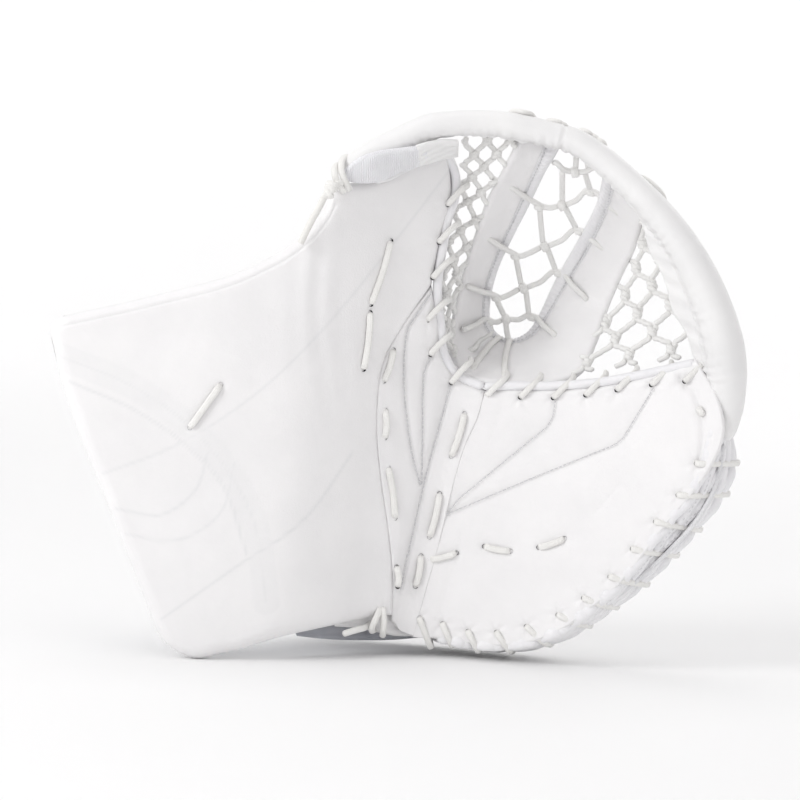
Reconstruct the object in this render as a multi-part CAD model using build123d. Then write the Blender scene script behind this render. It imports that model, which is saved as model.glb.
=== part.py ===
from build123d import *
import os

# A goalkeeper's catch glove for ice hockey, standing on its cuff corner and its finger edge with the catching side to the
# front. Millimetres, X to the finger side, Y to the back of the hand, Z up. Three stiff groups fold about two break lines:
# the cuff and thumb, the break strip with the webbed pocket, and the fingers. Two hook-and-loop straps peel open.

# ---- driving dimensions ---------------------------------------------------------------------------------------------

# The glove is drawn upright, then leaned onto its cuff corner and moved so that the origin is under its middle.
LEAN_ON_CUFF = -3.15  # degrees about Y
PLACE = Location((8.7, -30.8, 3.3), (0, LEAN_ON_CUFF, 0))
COLUMN_FRONT = -120.0  # an outline drawn in X and Z is made into a column between these two Y values
COLUMN_BACK = 200.0
SLAB_BOTTOM = -80.0  # a profile drawn in X and Y is made into a slab between these two Z values
SLAB_TOP = 420.0
GAP = 0.4  # between layers that lie on each other
BREAK_GAP = 0.6  # on each side of a break line

SKIN = 5.0  # leather over foam, on the catching side
CORE = 2.5  # polyethylene stiffener
LINER = 5.0  # padded lining towards the hand
LINER_AT = SKIN + CORE + 2 * GAP  # depth of the lining's front
INSIDE_AT = LINER_AT + LINER + GAP  # depth at which the hand's space begins
GUARD = 11.0  # padding on the back of the hand, its stiffener included
STRAP = 2.6  # hook-and-loop strap
PATCH = 1.2  # sewn-on hook or loop patch

LACE = 4.2  # diameter of the lacing
RIM_CORE = 7.0  # diameter of the plastic rod in the rim

# The catching side as a depth profile, level by level. It slants with height at the given lean.
THUMB_LEAN = 0.10
THUMB_LEVEL = 169.0
THUMB_FACE = [(-236, -42), (-160, -38), (-95, -33), (-62, -26), (-32, -9), (-8, 9), (12, 19), (32, 28), (52, 33)]
THUMB_BACK = [(-62, 26), (-32, 44), (-8, 57), (12, 64), (40, 68)]
FINGER_LEAN = 0.30
FINGER_LEVEL = 104.0
FINGER_FACE = [(-20, 28.5), (25, 28), (60, 25), (100, 16), (150, -3), (180, -16), (212, -31)]
GUARD_FACE = [(-160, 66), (-60, 76), (25, 71), (60, 66), (100, 54), (150, 31), (180, 16), (212, 1)]

# The two break lines, each from the heel to the rim.
BREAK_A = (Vector(1.0, 24.0, 24.0), Vector(82.6, 0.0, 343.0))
BREAK_B = (Vector(16.0, 24.0, 18.5), Vector(121.9, -2.0, 333.0))
FOLD = 30.0  # degrees that each break line folds

# Outlines as stretches of X and Z points: two points are a straight stretch, more are a smooth one.
CUFF_LEFT = [(-161, 42), (-184, 103), (-200, 144), (-212, 181), (-217, 204)]
CUFF_CORNER_TOP = [(-217, 204), (-218.5, 213), (-210, 221)]
CUFF_TOP = [(-210, 221), (-156, 233), (-94, 251), (-63, 269), (-49, 285), (-42, 303.5)]
THUMB_TOP = [(-42, 303.5), (-30, 303), (-14, 306), (6, 313.5), (31, 320)]
THUMB_EDGE = [(31, 320), (33, 294), (25, 262), (20, 236)]
CREASE = [(20, 236), (4, 213), (-9, 190), (-14, 150), (-12, 118), (-7, 82), (-4, 46), (-5, 24)]
CUFF_BOTTOM = [(-5, 24), (-34, 21.5), (-56, 19), (-76, 16), (-103, 8.7), (-112, 7)]
CUFF_CORNER_LOW = [(-112, 7), (-130, 4.2), (-148, 14), (-161, 42)]

PERIMETER = [(215, 130), (204, 98), (175, 62), (135, 27), (108, 9), (80, 0)]
PERIMETER_FLAT = [(80, 0), (44, 0)]
PALM_TIP = [(186, 187), (200, 173), (209, 152), (215, 130)]
PALM_TOP = [(66, 170), (98, 170), (128, 173), (160, 180), (186, 187)]

RIM_THUMB = [(-35, -16, 312), (-24, -11, 318), (-8, -6, 325.5), (19, -2, 338), (38, 0, 340.3), (60, 1, 339.8), (78.5, 1.5, 336.8)]
RIM_TOP = [(86.5, 1.5, 335), (102, 1, 331.4), (118, 0, 324)]
RIM_FINGER = [(125, -1, 319.3), (134, -2, 312), (152, -5, 294.8), (169.5, -7.5, 275), (184, -9, 252.5), (195.5, -9, 228),
              (202, -8, 209), (205.6, -4.4, 190), (209, 0, 163)]
# Half widths of the rim across and along Y, one pair for each point of its path.
RIM_THUMB_HALF = [(4.5, 6), (7.5, 9), (8.5, 10), (8.4, 10), (8.2, 10), (8.5, 10), (8.5, 10)]
RIM_TOP_HALF = [(8.5, 10), (8.5, 10), (8.5, 10)]
RIM_FINGER_HALF = [(8.5, 10), (9, 11), (9.8, 13), (10.6, 15), (11.6, 17), (12.8, 18), (12.8, 16.5), (10.6, 12.4), (7, 8)]

# The two bars of the web: foot and head in X and Z, and the inner face as distance up the bar and Y.
BAR_HALF_WIDTH = 16.0
BAR_THICKNESS = 8.0
BAR_LEFT = ((50, 178), (83, 328), [(19, 86), (46, 95), (84, 82), (120, 54), (146, 14)])
BAR_RIGHT = ((77, 193), (143, 303), [(8, 86), (26, 88), (60, 77), (96, 46), (118, 14)])

NET_THICKNESS = 3.0


POCKET_BASE_X = (34, 98)
# The edges of each net in X, Y and Z.
NET_THUMB = ([(37, 36, 322), (38, 38, 294), (30, 40, 262), (26, 42, 235), (30, 44, 205)],
             [(62, 16, 330), (53, 56, 296), (43, 82, 262), (36, 92, 230), (34, 84, 204)])
NET_MIDDLE = ([(99, 16, 316), (94, 54, 291), (87, 80, 256), (82.5, 90, 238)],
              [(122, 16, 303), (110.5, 47, 284), (92, 76, 254), (84, 86, 238)])
NET_FINGER = ([(160, 16, 293), (148, 48, 269), (132, 77, 240), (116, 88, 211), (104, 88, 192)],
              [(162, 12, 288), (176, 12, 262), (184, 16, 232), (180, 22, 206), (150, 36, 190)])

# The guard on the back of the hand, in X and Z.
GUARD_TOP = [(-50, 146), (0, 160), (60, 162), (120, 166), (180, 179)]
GUARD_TIP = [(180, 179), (198, 162), (208, 130)]
GUARD_EDGE = [(208, 130), (196, 96), (167, 61), (127, 27), (90, 0.6)]
GUARD_FLAT = [(90, 0.6), (30, 0.6)]
GUARD_HEEL = [(30, 0.6), (-6, 5), (-42, 15), (-66, 26)]
GUARD_WRIST = [(-66, 26), (-70, 60), (-62, 110), (-50, 146)]
FINGER_DIVIDERS = [(58, 154, 62), (70, 180, 94), (82, 190, 126)]

# The straps: the wrist strap's paths in Y and Z with their outward directions, and the hand strap's place.
WRIST_STRAP_X = (-142, -96)
WRIST_TAB = [((-15, 52), (0.6, -0.8)), ((7, 62), (0.7, -0.7)), ((25, 83), (0.85, -0.5)), ((35, 108), (0.96, -0.25))]
WRIST_FLAP = [((-14.5, 214), (0.3, 0.95)), ((12, 205), (0.55, 0.83)), ((33, 182), (0.8, 0.6)), ((43.5, 150), (0.99, 0.1)),
              ((43, 118), (0.98, -0.2)), ((36, 88), (0.9, -0.43)), ((23, 66), (0.75, -0.66))]
HAND_STRAP_Z = (84, 118)
HAND_STRAP_HINGE = 84.0

# Lacing on the faces, from hole to hole in X and Z.
THUMB_EDGE_RUNS = [((8, 311), (24, 314)), ((28, 310), (28, 292)), ((24, 272), (19, 254)), ((16, 242), (14, 226)),
                   ((17, 212), (18, 194))]
BOARD_RUNS = [((-5.7, 265.9), (-18.3, 226)), ((-18.8, 221), (-23, 184.8)), ((-3.2, 196.3), (-8.7, 176.5)),
              ((-9.5, 158), (-9.5, 140)), ((-7.5, 120.6), (-2.5, 87.7)), ((-0.5, 54.3), (0, 43))]
CUFF_RUNS = [((-112.1, 177.9), (-131.5, 150.9))]
BREAK_RUNS = [((41.5, 153.8), (33, 126.2)), ((25.5, 102.2), (19, 74)), ((13.5, 62), (10, 42)), ((17, 58.5), (27, 61.5))]
PALM_RUNS = [((54.2, 68.5), (71, 65.9)), ((88.8, 68.8), (105.2, 75.2))]
PALM_TOP_HOLES = [(77.5, 164.2), (98.2, 164.5), (118.9, 166.8), (138.4, 170.4), (159.7, 173), (177, 176)]
# Each turn over the fingers' edge: the hole in X and Z, and the way to the edge.
PERIMETER_TURNS = [((200, 128), (17, -4)), ((190, 104), (16, -10)), ((176, 84), (14, -13)), ((159, 66), (12, -14)),
                   ((141, 49), (11, -15)), ((124, 35), (9, -16)), ((106, 23), (7, -17)), ((88, 16), (4, -18)),
                   ((70, 14), (1, -18)), ((52, 14), (-1, -18)), ((36, 16), (-3, -18))]
RIM_LOOPS_TOP = [((92, 1.3, 334), (1, 0, -0.25)), ((100, 1, 332), (1, 0, -0.3)), ((111, 0.5, 327.8), (1, 0, -0.5))]
RIM_LOOPS_FINGER = [((138, -2.6, 308.3), (1, -0.1, -0.93), 10.2, 12), ((146, -4, 300.5), (1, -0.15, -0.95), 10.6, 12.8),
                    ((154, -5.3, 292.8), (1, -0.15, -1.05), 11, 13.4)]


# ---- ways of making shapes ------------------------------------------------------------------------------------------

def stretch(points):
    """A straight edge through two points or a smooth one through more."""
    return Line(*points) if len(points) == 2 else Spline(*points)


def column(*stretches):
    """The column along Y inside an outline drawn in X and Z."""
    edges = [stretch([(x, COLUMN_FRONT, z) for x, z in points]) for points in stretches]
    return extrude(make_face(edges), COLUMN_BACK - COLUMN_FRONT, dir=(0, 1, 0))


def straight_column(*corners):
    """The column along Y inside straight sides between corners drawn in X and Z."""
    return column(*zip(corners, corners[1:] + corners[:1]))


def inset_column(shape, inset):
    """A column with its outline moved inwards, in short straight sides."""
    outline = shape.faces().sort_by(Axis.Y)[0].outer_wire()
    sides = 54
    marks = [outline @ (number / sides) for number in range(sides)]
    following = marks[1:] + marks[:1]
    around = sum(mark.cross(after).Y for mark, after in zip(marks, following))
    inward = Vector(0, 1, 0) if around > 0 else Vector(0, -1, 0)
    corners = []
    for number, mark in enumerate(marks):
        along = following[number] - marks[number - 1]
        corner = mark + inward.cross(along).normalized() * inset
        corners.append((corner.X, corner.Z))
    return straight_column(*corners)


def slab(front, back, lean, level):
    """The slab between two profiles drawn in X and Y, which both slant with height."""
    start = lean * (SLAB_BOTTOM - level)
    near = [(x + start, y, SLAB_BOTTOM) for x, y in front]
    far = [(x + start, y, SLAB_BOTTOM) for x, y in back]
    face = make_face([Spline(*near), Line(near[-1], far[-1]), Spline(*far), Line(far[0], near[0])])
    height = SLAB_TOP - SLAB_BOTTOM
    return Solid.extrude(face.faces()[0], Vector(lean * height, 0, height))


def deeper(profile, by):
    """A profile moved towards the back of the hand."""
    return [(x, y + by) for x, y in profile]


def thumb_layer(near, far):
    return slab(deeper(THUMB_FACE, near), deeper(THUMB_FACE, far), THUMB_LEAN, THUMB_LEVEL)


def finger_layer(near, far):
    return slab(deeper(FINGER_FACE, near), deeper(FINGER_FACE, far), FINGER_LEAN, FINGER_LEVEL)


def guard_layer(near, far):
    return slab(deeper(GUARD_FACE, near), deeper(GUARD_FACE, far), FINGER_LEAN, FINGER_LEVEL)


def finger_space(near, far):
    """Between the palm and the guard: near counts from the palm's face, far from the guard's."""
    return slab(deeper(FINGER_FACE, near), deeper(GUARD_FACE[1:], far), FINGER_LEAN, FINGER_LEVEL)


def depth(profile, along):
    """The second coordinate of a smooth profile at a value of the first."""
    curve = Spline(*profile)
    low, high = 0.0, 1.0
    for _ in range(40):
        middle = (low + high) / 2
        if (curve @ middle).X < along:
            low = middle
        else:
            high = middle
    return (curve @ low).Y


def on_thumb(x, z, out=0.0):
    """A point on the thumb side's face, or a distance in front of it."""
    return Vector(x, depth(THUMB_FACE, x - THUMB_LEAN * (z - THUMB_LEVEL)) - out, z)


def on_fingers(x, z, out=0.0):
    """A point on the finger side's face, or a distance in front of it."""
    return Vector(x, depth(FINGER_FACE, x - FINGER_LEAN * (z - FINGER_LEVEL)) - out, z)


def break_point(line, z, aside=0.0):
    """The X and Z of a break line at a height, moved aside along X."""
    low, high = line
    share = (z - low.Z) / (high.Z - low.Z)
    return (low.X + share * (high.X - low.X) + aside, z)


def rod(start, end, diameter):
    """A straight round piece between two points."""
    return Solid.make_cylinder(diameter / 2, (end - start).length, Plane(origin=start, z_dir=end - start))


def wrap(points, diameter, bend):
    """A round cord through points, rounded at each corner."""
    path = FilletPolyline(*points, radius=bend)
    return sweep(Plane(origin=path @ 0, z_dir=path % 0) * Circle(diameter / 2), path=path)


def runs(place, pairs):
    """Lace runs that lie on a face, from hole to hole."""
    return [rod(place(*start, LACE / 2 + 0.8), place(*end, LACE / 2 + 0.8), LACE) for start, end in pairs]


def tube(points, halves):
    """An oval bar through points, with half widths across the path and along Y at each."""
    sections = []
    places = [Vector(*p) for p in points]
    for i, (place, (across, deep)) in enumerate(zip(places, halves)):
        along = places[min(i + 1, len(places) - 1)] - places[max(i - 1, 0)]
        outward = along.cross(Vector(0, 1, 0)).normalized()
        sections.append(Plane(origin=place, x_dir=outward, z_dir=along) * Ellipse(across, deep))
    return loft(sections)


def rim_core(points):
    """The plastic rod in a stretch of the rim."""
    return tube(points, [(RIM_CORE / 2, RIM_CORE / 2)] * len(points))


def rim_cover(points, halves):
    """The padded sleeve round the rod, with room for it."""
    room = RIM_CORE / 2 + GAP / 2
    return tube(points, halves) - tube(points, [(room, room)] * len(points))


def rim_loop(place, along, across, deep):
    """A loop of lace round the rim."""
    plane = Plane(origin=Vector(*place), x_dir=Vector(*along).cross(Vector(0, 1, 0)), z_dir=Vector(*along))
    clear = LACE / 2 + 0.5
    path = Edge.make_ellipse(across + clear, deep + clear, plane)
    return sweep(Plane(origin=path @ 0, z_dir=path % 0) * Circle(LACE / 2), path=path)


def net(edge_a, edge_b, outward, rows, columns):
    """A panel between two edges, made thick along a direction, with a pattern of diamond holes through it."""
    outward = Vector(*outward).normalized()
    sides = Spline(*edge_a), Spline(*edge_b)
    panel = Solid.extrude(Face.make_surface_from_curves(*sides), outward * NET_THICKNESS)
    holes = []
    for row in range(rows):
        share = (row + 0.5) / rows
        start, end = sides[0] @ share, sides[1] @ share
        rise = (sides[0] % share + sides[1] % share).normalized()
        for place in range(columns - row % 2):
            across = (place + 0.5 + 0.5 * (row % 2)) / columns
            middle = start + (end - start) * across
            width = (end - start) * (0.36 / columns)
            length = rise * (0.36 * sides[0].length / rows * 1.6)
            diamond = Wire.make_polygon([middle + width, middle + length, middle - width, middle - length])
            normal = width.cross(length).normalized()
            holes.append(Solid.extrude(Face(diamond.moved(Location(normal * -15))), normal * 30))
    return panel - holes


def save(name, *shapes):
    """Writes one node, moved to the part's frame."""
    solids = [solid.moved(PLACE) for shape in shapes for solid in shape.solids()]
    export_step(solids[0] if len(solids) == 1 else Compound(children=solids), f"parts/{name}.step")


# ---- cuff and thumb -------------------------------------------------------------------------------------------------

def cuff_boards():
    board = column(CUFF_LEFT, CUFF_CORNER_TOP, CUFF_TOP, THUMB_TOP, THUMB_EDGE, CREASE, CUFF_BOTTOM,
                   CUFF_CORNER_LOW)
    save("cuff_thumb_shell", board & thumb_layer(0, SKIN))
    save("cuff_thumb_core", inset_column(board, 6) & thumb_layer(SKIN + GAP, SKIN + GAP + CORE))
    lining = straight_column((-147, 45), (-202, 198), (-60, 246), (-40, 180), (-34, 120), (-30, 46), (-110, 26))
    save("cuff_liner", lining & thumb_layer(LINER_AT, LINER_AT + LINER + 2))
    binding = straight_column((-157, 43), (-215, 203), (-207, 203), (-151, 45))
    save("cuff_edge_binding", binding & thumb_layer(LINER_AT, LINER_AT + 12))
    panel = column([(22, 235), (6, 212), (-7, 190), (-12, 150), (-10, 118), (-5, 82), (-2, 46), (-3, 25)],
                   [(-3, 25), break_point(BREAK_A, 26, -BREAK_GAP)],
                   [break_point(BREAK_A, 26, -BREAK_GAP), break_point(BREAK_A, 172, -BREAK_GAP)],
                   [break_point(BREAK_A, 172, -BREAK_GAP), (24, 186), (21, 208), (22, 235)])
    save("thumb_palm_panel", panel & thumb_layer(0, SKIN))
    save("thumb_palm_liner", panel & thumb_layer(LINER_AT, LINER_AT + LINER))


def thumb_stall():
    stall = column([(-32, 292), (20, 306)], [(20, 306), (20, 262), (14, 232)], [(14, 232), (-2, 196)],
                   [(-2, 196), (-34, 204)], [(-34, 204), (-32, 292)])
    save("thumb_back_guard", stall & slab(THUMB_BACK, deeper(THUMB_BACK, GUARD), THUMB_LEAN, THUMB_LEVEL))
    space = slab(deeper(THUMB_FACE, LINER_AT), [(-236, 10), (-95, 14)] + deeper(THUMB_BACK, -GAP) + [(52, 69)],
                 THUMB_LEAN, THUMB_LEVEL)
    save("thumb_gusset_outer", straight_column((-32, 292), (-34, 204), (-29, 204), (-27, 287)) & space)
    save("thumb_gusset_inner", straight_column((20, 305.5), (20, 262), (14, 232), (9, 234), (15, 262), (15, 300)) & space)
    save("thumb_gusset_tip", straight_column((-31, 292), (19, 306), (14.6, 300.3), (-26.6, 288.5)) & space)
    save("thumb_strap", Box(34, 2.5, 24).moved(Location((-11, 39, 226))))


def rim_and_tip():
    save("rim_cover_thumb", rim_cover(RIM_THUMB, RIM_THUMB_HALF))
    save("rim_core_thumb", rim_core(RIM_THUMB))
    save("rim_cover_top", rim_cover(RIM_TOP, RIM_TOP_HALF))
    save("rim_core_top", rim_core(RIM_TOP))
    save("rim_cover_finger", rim_cover(RIM_FINGER, RIM_FINGER_HALF))
    save("rim_core_finger", rim_core(RIM_FINGER))
    rib = column([(-20, 310.5), (-10, 313.3), (6, 319.5), (28, 326)], [(28, 326), (28, 320.6)],
                 [(28, 320.6), (6, 314.6), (-10, 308.6), (-20, 306.2)], [(-20, 306.2), (-20, 310.5)])
    save("thumb_tip_rib", (rib & thumb_layer(-1, 5)) - tube(RIM_THUMB, [(a + GAP, b + GAP) for a, b in RIM_THUMB_HALF]))


def cuff_strap():
    """The strap over the back of the wrist: a fixed tab below, and a flap that hangs from its upper end."""
    left, right = WRIST_STRAP_X
    def band(path, thickness):
        outer = [(y + thickness * n_y, z + thickness * n_z) for (y, z), (n_y, n_z) in path]
        inner = [point for point, _ in path]
        face = make_face([Spline(*[(left, *p) for p in inner]), Line((left, *inner[-1]), (left, *outer[-1])),
                          Spline(*[(left, *p) for p in outer]), Line((left, *outer[0]), (left, *inner[0]))])
        return extrude(face, right - left, dir=(1, 0, 0))
    save("cuff_strap_tab", band(WRIST_TAB, STRAP))
    save("cuff_strap", band(WRIST_FLAP, STRAP))
    under = [((y - 0.5 * n_y, z - 0.5 * n_z), (-n_y, -n_z)) for (y, z), (n_y, n_z) in WRIST_FLAP[-3:]]
    save("cuff_strap_hook", band(under, PATCH))


def front_laces():
    save("thumb_edge_lace", *runs(on_thumb, THUMB_EDGE_RUNS))
    save("board_lace", *runs(on_thumb, BOARD_RUNS))
    save("cuff_lace", *runs(on_thumb, CUFF_RUNS))
    save("break_lace", *runs(on_fingers, BREAK_RUNS))
    save("palm_lace", *runs(on_fingers, PALM_RUNS))
    save("palm_edge_lace", *runs(on_fingers, [((x, z), (x + 1.5, z + 7)) for x, z in PALM_TOP_HOLES]))
    save("tip_lace_knot", rim_loop((-32.6, -15, 313.4), (1, 0.45, 0.55), 5.8, 7.8),
         Sphere(4.5).moved(Location((-46, -33, 300))))
    save("tip_lace_tail", wrap([(-47.5, -33.5, 294.5), (-51, -34.2, 287), (-56, -34.5, 279), (-62, -34, 266)], LACE, 6))


# ---- break strip and pocket -----------------------------------------------------------------------------------------

def break_strip():
    strip = straight_column(break_point(BREAK_A, 26, BREAK_GAP), break_point(BREAK_A, 170, BREAK_GAP),
                            break_point(BREAK_B, 168, -BREAK_GAP), break_point(BREAK_B, 4, -BREAK_GAP))
    save("break_strip_skin", strip & finger_layer(0, SKIN))
    save("break_strip_liner", strip & finger_layer(SKIN + GAP, SKIN + GAP + LINER))


def bar_frame(foot, head):
    """The directions along a web bar and across it."""
    rise = Vector(head[0] - foot[0], 0, head[1] - foot[1]).normalized()
    return Vector(foot[0], 0, foot[1]), rise, Vector(-rise.Z, 0, rise.X)


def bar(foot, head, inner):
    """One curved bar of the web, bulging to the back."""
    origin, rise, across = bar_frame(foot, head)
    outer = [(s + 2, y + BAR_THICKNESS) for s, y in inner]
    def side(points):
        return [origin + rise * s + Vector(0, y, 0) for s, y in points]
    near, far = side(inner), side(outer)
    face = make_face([Spline(*near), Line(near[-1], far[-1]), Spline(*far), Line(far[0], near[0])])
    return extrude(face, BAR_HALF_WIDTH, dir=across, both=True)


def bar_laces(foot, head, inner, stations):
    """Laces straight over a web bar's inner face."""
    origin, rise, across = bar_frame(foot, head)
    out = []
    for s in stations:
        slope = Vector(1, depth(inner, s + 1) - depth(inner, s - 1)) * 0.5
        normal = (rise * -slope.Y + Vector(0, 1, 0)).normalized()
        middle = origin + rise * s + Vector(0, depth(inner, s), 0) - normal * (LACE / 2 + 0.5)
        out.append(rod(middle - across * BAR_HALF_WIDTH, middle + across * BAR_HALF_WIDTH, LACE))
    return out


def pocket():
    origin, rise, across = bar_frame(*BAR_LEFT[:2])
    clear = across * (BAR_HALF_WIDTH + 0.6)
    corners = [origin - clear - rise * 60, origin + clear - rise * 60, origin + clear + rise * 200, origin - clear + rise * 200]
    save("web_bar_thumb", bar(*BAR_LEFT))
    save("web_bar_finger", bar(*BAR_RIGHT) - straight_column(*[(c.X, c.Z) for c in corners]))
    save("bar_lace_thumb", *bar_laces(*BAR_LEFT, (30, 72, 112)))
    save("bar_lace_finger", *bar_laces(*BAR_RIGHT, (50, 76, 100)))
    left, right = POCKET_BASE_X
    inner = [(left, 44, 176), (left, 66, 183), (left, 82, 192)]
    outer = [(left, 90, 187), (left, 72, 177), (left, 48, 169)]
    profile = make_face([Spline(*inner), Line(inner[-1], outer[0]), Spline(*outer), Line(outer[-1], inner[0])])
    save("pocket_base", extrude(profile, right - left, dir=(1, 0, 0)))
    save("net_thumb", net(*NET_THUMB, (-1, 1, 0), 8, 3))
    save("net_middle", net(*NET_MIDDLE, (0, 1, 0.6), 6, 2))
    save("net_finger", net(*NET_FINGER, (1, 1, 0), 8, 4))
    save("rim_lace_top", *[rim_loop(*loop, 9.5, 10) for loop in RIM_LOOPS_TOP])
    save("rim_lace_finger", *[rim_loop(*loop) for loop in RIM_LOOPS_FINGER])


# ---- fingers --------------------------------------------------------------------------------------------------------

def fingers():
    low, high = break_point(BREAK_B, 4, BREAK_GAP), break_point(BREAK_B, 170, BREAK_GAP)
    palm = column(PERIMETER, PERIMETER_FLAT, [PERIMETER_FLAT[-1], low], [low, high], [high] + PALM_TOP[1:], PALM_TIP)
    inner = inset_column(palm, 7)
    ring = inset_column(palm, 2) - inner
    save("palm_skin", palm & finger_layer(0, SKIN))
    save("palm_core", inner & finger_layer(SKIN + GAP, SKIN + GAP + CORE))
    save("palm_liner", inner & finger_layer(LINER_AT, LINER_AT + LINER))
    space = finger_space(INSIDE_AT, -LINER - 2 * GAP)
    edge_side = straight_column((50, -20), (240, -20), (240, 146), (190, 146), (50, 60))
    top_side = straight_column((75, 140), (190, 160), (196, 200), (75, 200))
    save("perimeter_roll", ring & edge_side & finger_layer(SKIN + GAP, INSIDE_AT))
    save("perimeter_gusset", ring & edge_side & space)
    save("index_gusset", ring & top_side & space)

    for number, (left, right, z) in enumerate(FINGER_DIVIDERS, 1):
        wall = straight_column((left, z - 1.5), (right, z - 1.5), (right, z + 1.5), (left, z + 1.5))
        save(f"finger_divider_{number}", wall & space)

    guard = column(GUARD_TOP, GUARD_TIP, GUARD_EDGE, GUARD_FLAT, GUARD_HEEL, GUARD_WRIST)
    thin = inset_column(guard, 6)
    save("backhand_liner", thin & guard_layer(-LINER, -GAP))
    save("backhand_core", thin & guard_layer(0, CORE))
    save("backhand_guard", guard & guard_layer(CORE + GAP, GUARD))

    back = guard_strap_columns()
    save("hand_strap_anchor", back["anchor"] & guard_layer(GUARD + GAP, GUARD + GAP + PATCH))
    save("hand_strap_loop", back["loop"] & guard_layer(GUARD + GAP, GUARD + GAP + PATCH))
    save("hand_strap_hook", back["hook"] & guard_layer(GUARD + 2 * GAP + PATCH, GUARD + 2 * GAP + 2 * PATCH))
    at = GUARD + 3 * GAP + 2 * PATCH
    save("hand_strap", back["strap"] & guard_layer(at, at + STRAP))


def leaning(low, high, z_low, z_high):
    """A column over part of the hand's back, with sides that slant as the glove does."""
    lean = [(v + FINGER_LEAN * (z - FINGER_LEVEL), z) for v, z in [(low, z_low), (high, z_low), (high, z_high), (low, z_high)]]
    return straight_column(*lean)


def guard_strap_columns():
    low, high = HAND_STRAP_Z
    hinge = HAND_STRAP_HINGE
    return {"anchor": leaning(hinge + 1, hinge + 22, low, high), "loop": leaning(hinge - 82, hinge - 22, low, high),
            "hook": leaning(hinge - 80, hinge - 50, low + 3, high - 3), "strap": leaning(hinge - 84, hinge, low, high)}


def perimeter_laces():
    """Laces over the fingers' edge, from holes in the palm round the roll to holes in the guard."""
    turns = []
    for (x, z), (out_x, out_z) in PERIMETER_TURNS:
        edge = (x + out_x, z + out_z)
        front, back = on_fingers(x, z, LACE / 2 + 1.3), on_fingers(*edge, LACE / 2 + 1.6)
        behind, above = [depth(GUARD_FACE, at_x - FINGER_LEAN * (at_z - FINGER_LEVEL)) + GUARD + LACE / 2 + 2.7
                         for at_x, at_z in (edge, (x, z))]
        turns.append(wrap([front, back, (edge[0], behind, edge[1]), (x, above, z)], LACE, 3))
    save("perimeter_lace", *turns)


if __name__ == "__main__":
    os.makedirs("parts", exist_ok=True)
    cuff_boards()
    thumb_stall()
    rim_and_tip()
    cuff_strap()
    front_laces()
    break_strip()
    pocket()
    fingers()
    perimeter_laces()
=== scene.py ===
import math
import random

import bmesh
import bpy
import numpy as np
from mathutils import Matrix, Vector, noise


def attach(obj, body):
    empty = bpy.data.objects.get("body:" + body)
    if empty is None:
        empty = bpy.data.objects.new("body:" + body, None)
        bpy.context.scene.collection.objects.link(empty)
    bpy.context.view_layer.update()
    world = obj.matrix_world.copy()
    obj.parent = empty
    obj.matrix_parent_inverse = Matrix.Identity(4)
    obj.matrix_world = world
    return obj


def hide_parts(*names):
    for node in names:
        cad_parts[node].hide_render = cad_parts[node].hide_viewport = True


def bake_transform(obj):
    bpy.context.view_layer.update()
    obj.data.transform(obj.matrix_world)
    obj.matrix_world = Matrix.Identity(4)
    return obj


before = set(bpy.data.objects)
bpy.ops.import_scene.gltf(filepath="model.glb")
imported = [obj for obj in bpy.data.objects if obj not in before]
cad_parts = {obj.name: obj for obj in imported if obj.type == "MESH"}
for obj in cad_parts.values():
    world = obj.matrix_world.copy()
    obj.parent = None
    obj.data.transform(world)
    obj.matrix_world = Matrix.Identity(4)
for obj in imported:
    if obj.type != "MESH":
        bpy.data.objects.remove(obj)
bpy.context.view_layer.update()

# The glove is drawn upright in millimetres, then leaned onto its cuff corner, moved over the origin and
# made metres.
LEAN = math.radians(-3.15)
TURNED = Matrix.Translation((0.0087, -0.0308, 0.0033)) @ Matrix.Rotation(LEAN, 4, "Y")
PLACE = TURNED @ Matrix.Scale(0.001, 4)
PLACE_NP = np.array(PLACE)

# ---- the glove's leading shapes, as in the CAD model ---------------------------------------------

THUMB_LEAN, THUMB_LEVEL = 0.10, 169.0
THUMB_FACE = [(-236, -42), (-160, -38), (-95, -33), (-62, -26), (-32, -9), (-8, 9), (12, 19), (32, 28),
              (52, 33)]
THUMB_BACK = [(-62, 26), (-32, 44), (-8, 57), (12, 64), (40, 68)]
FINGER_LEAN, FINGER_LEVEL = 0.30, 104.0
FINGER_FACE = [(-20, 28.5), (25, 28), (60, 25), (100, 16), (150, -3), (180, -16), (212, -31)]
GUARD_FACE = [(-160, 66), (-60, 76), (25, 71), (60, 66), (100, 54), (150, 31), (180, 16), (212, 1)]
GUARD = 11.0
BREAK_A = ((1.0, 24.0, 24.0), (82.6, 0.0, 343.0))
LACE = 4.2

CUFF_LEFT = [(-161, 42), (-184, 103), (-200, 144), (-212, 181), (-217, 204)]
CUFF_TOP = [(-217, 204), (-218.5, 213), (-210, 221)]
CUFF_RISE = [(-210, 221), (-156, 233), (-94, 251), (-63, 269), (-49, 285), (-42, 303.5)]
THUMB_TOP = [(-42, 303.5), (-30, 303), (-14, 306), (6, 313.5), (31, 320)]
BOARD_RIGHT = [(-5, 24), (-4, 46), (-7, 82), (-12, 118), (-14, 150), (-9, 190), (4, 213), (20, 236)]
THUMB_EDGE = [(20, 236), (25, 262), (33, 294), (31, 320)]
CUFF_BOTTOM = [(-161, 42), (-148, 14), (-130, 4.2), (-112, 7)]
CUFF_HEEL = [(-112, 7), (-103, 8.7), (-76, 16), (-56, 19), (-34, 21.5), (-5, 24)]


# ---- numbers and curves --------------------------------------------------------------------------

def run_along(points):
    """The distance along a line at each of its points."""
    return np.concatenate([[0], np.cumsum(np.linalg.norm(np.diff(points, axis=0), axis=1))])


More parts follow.
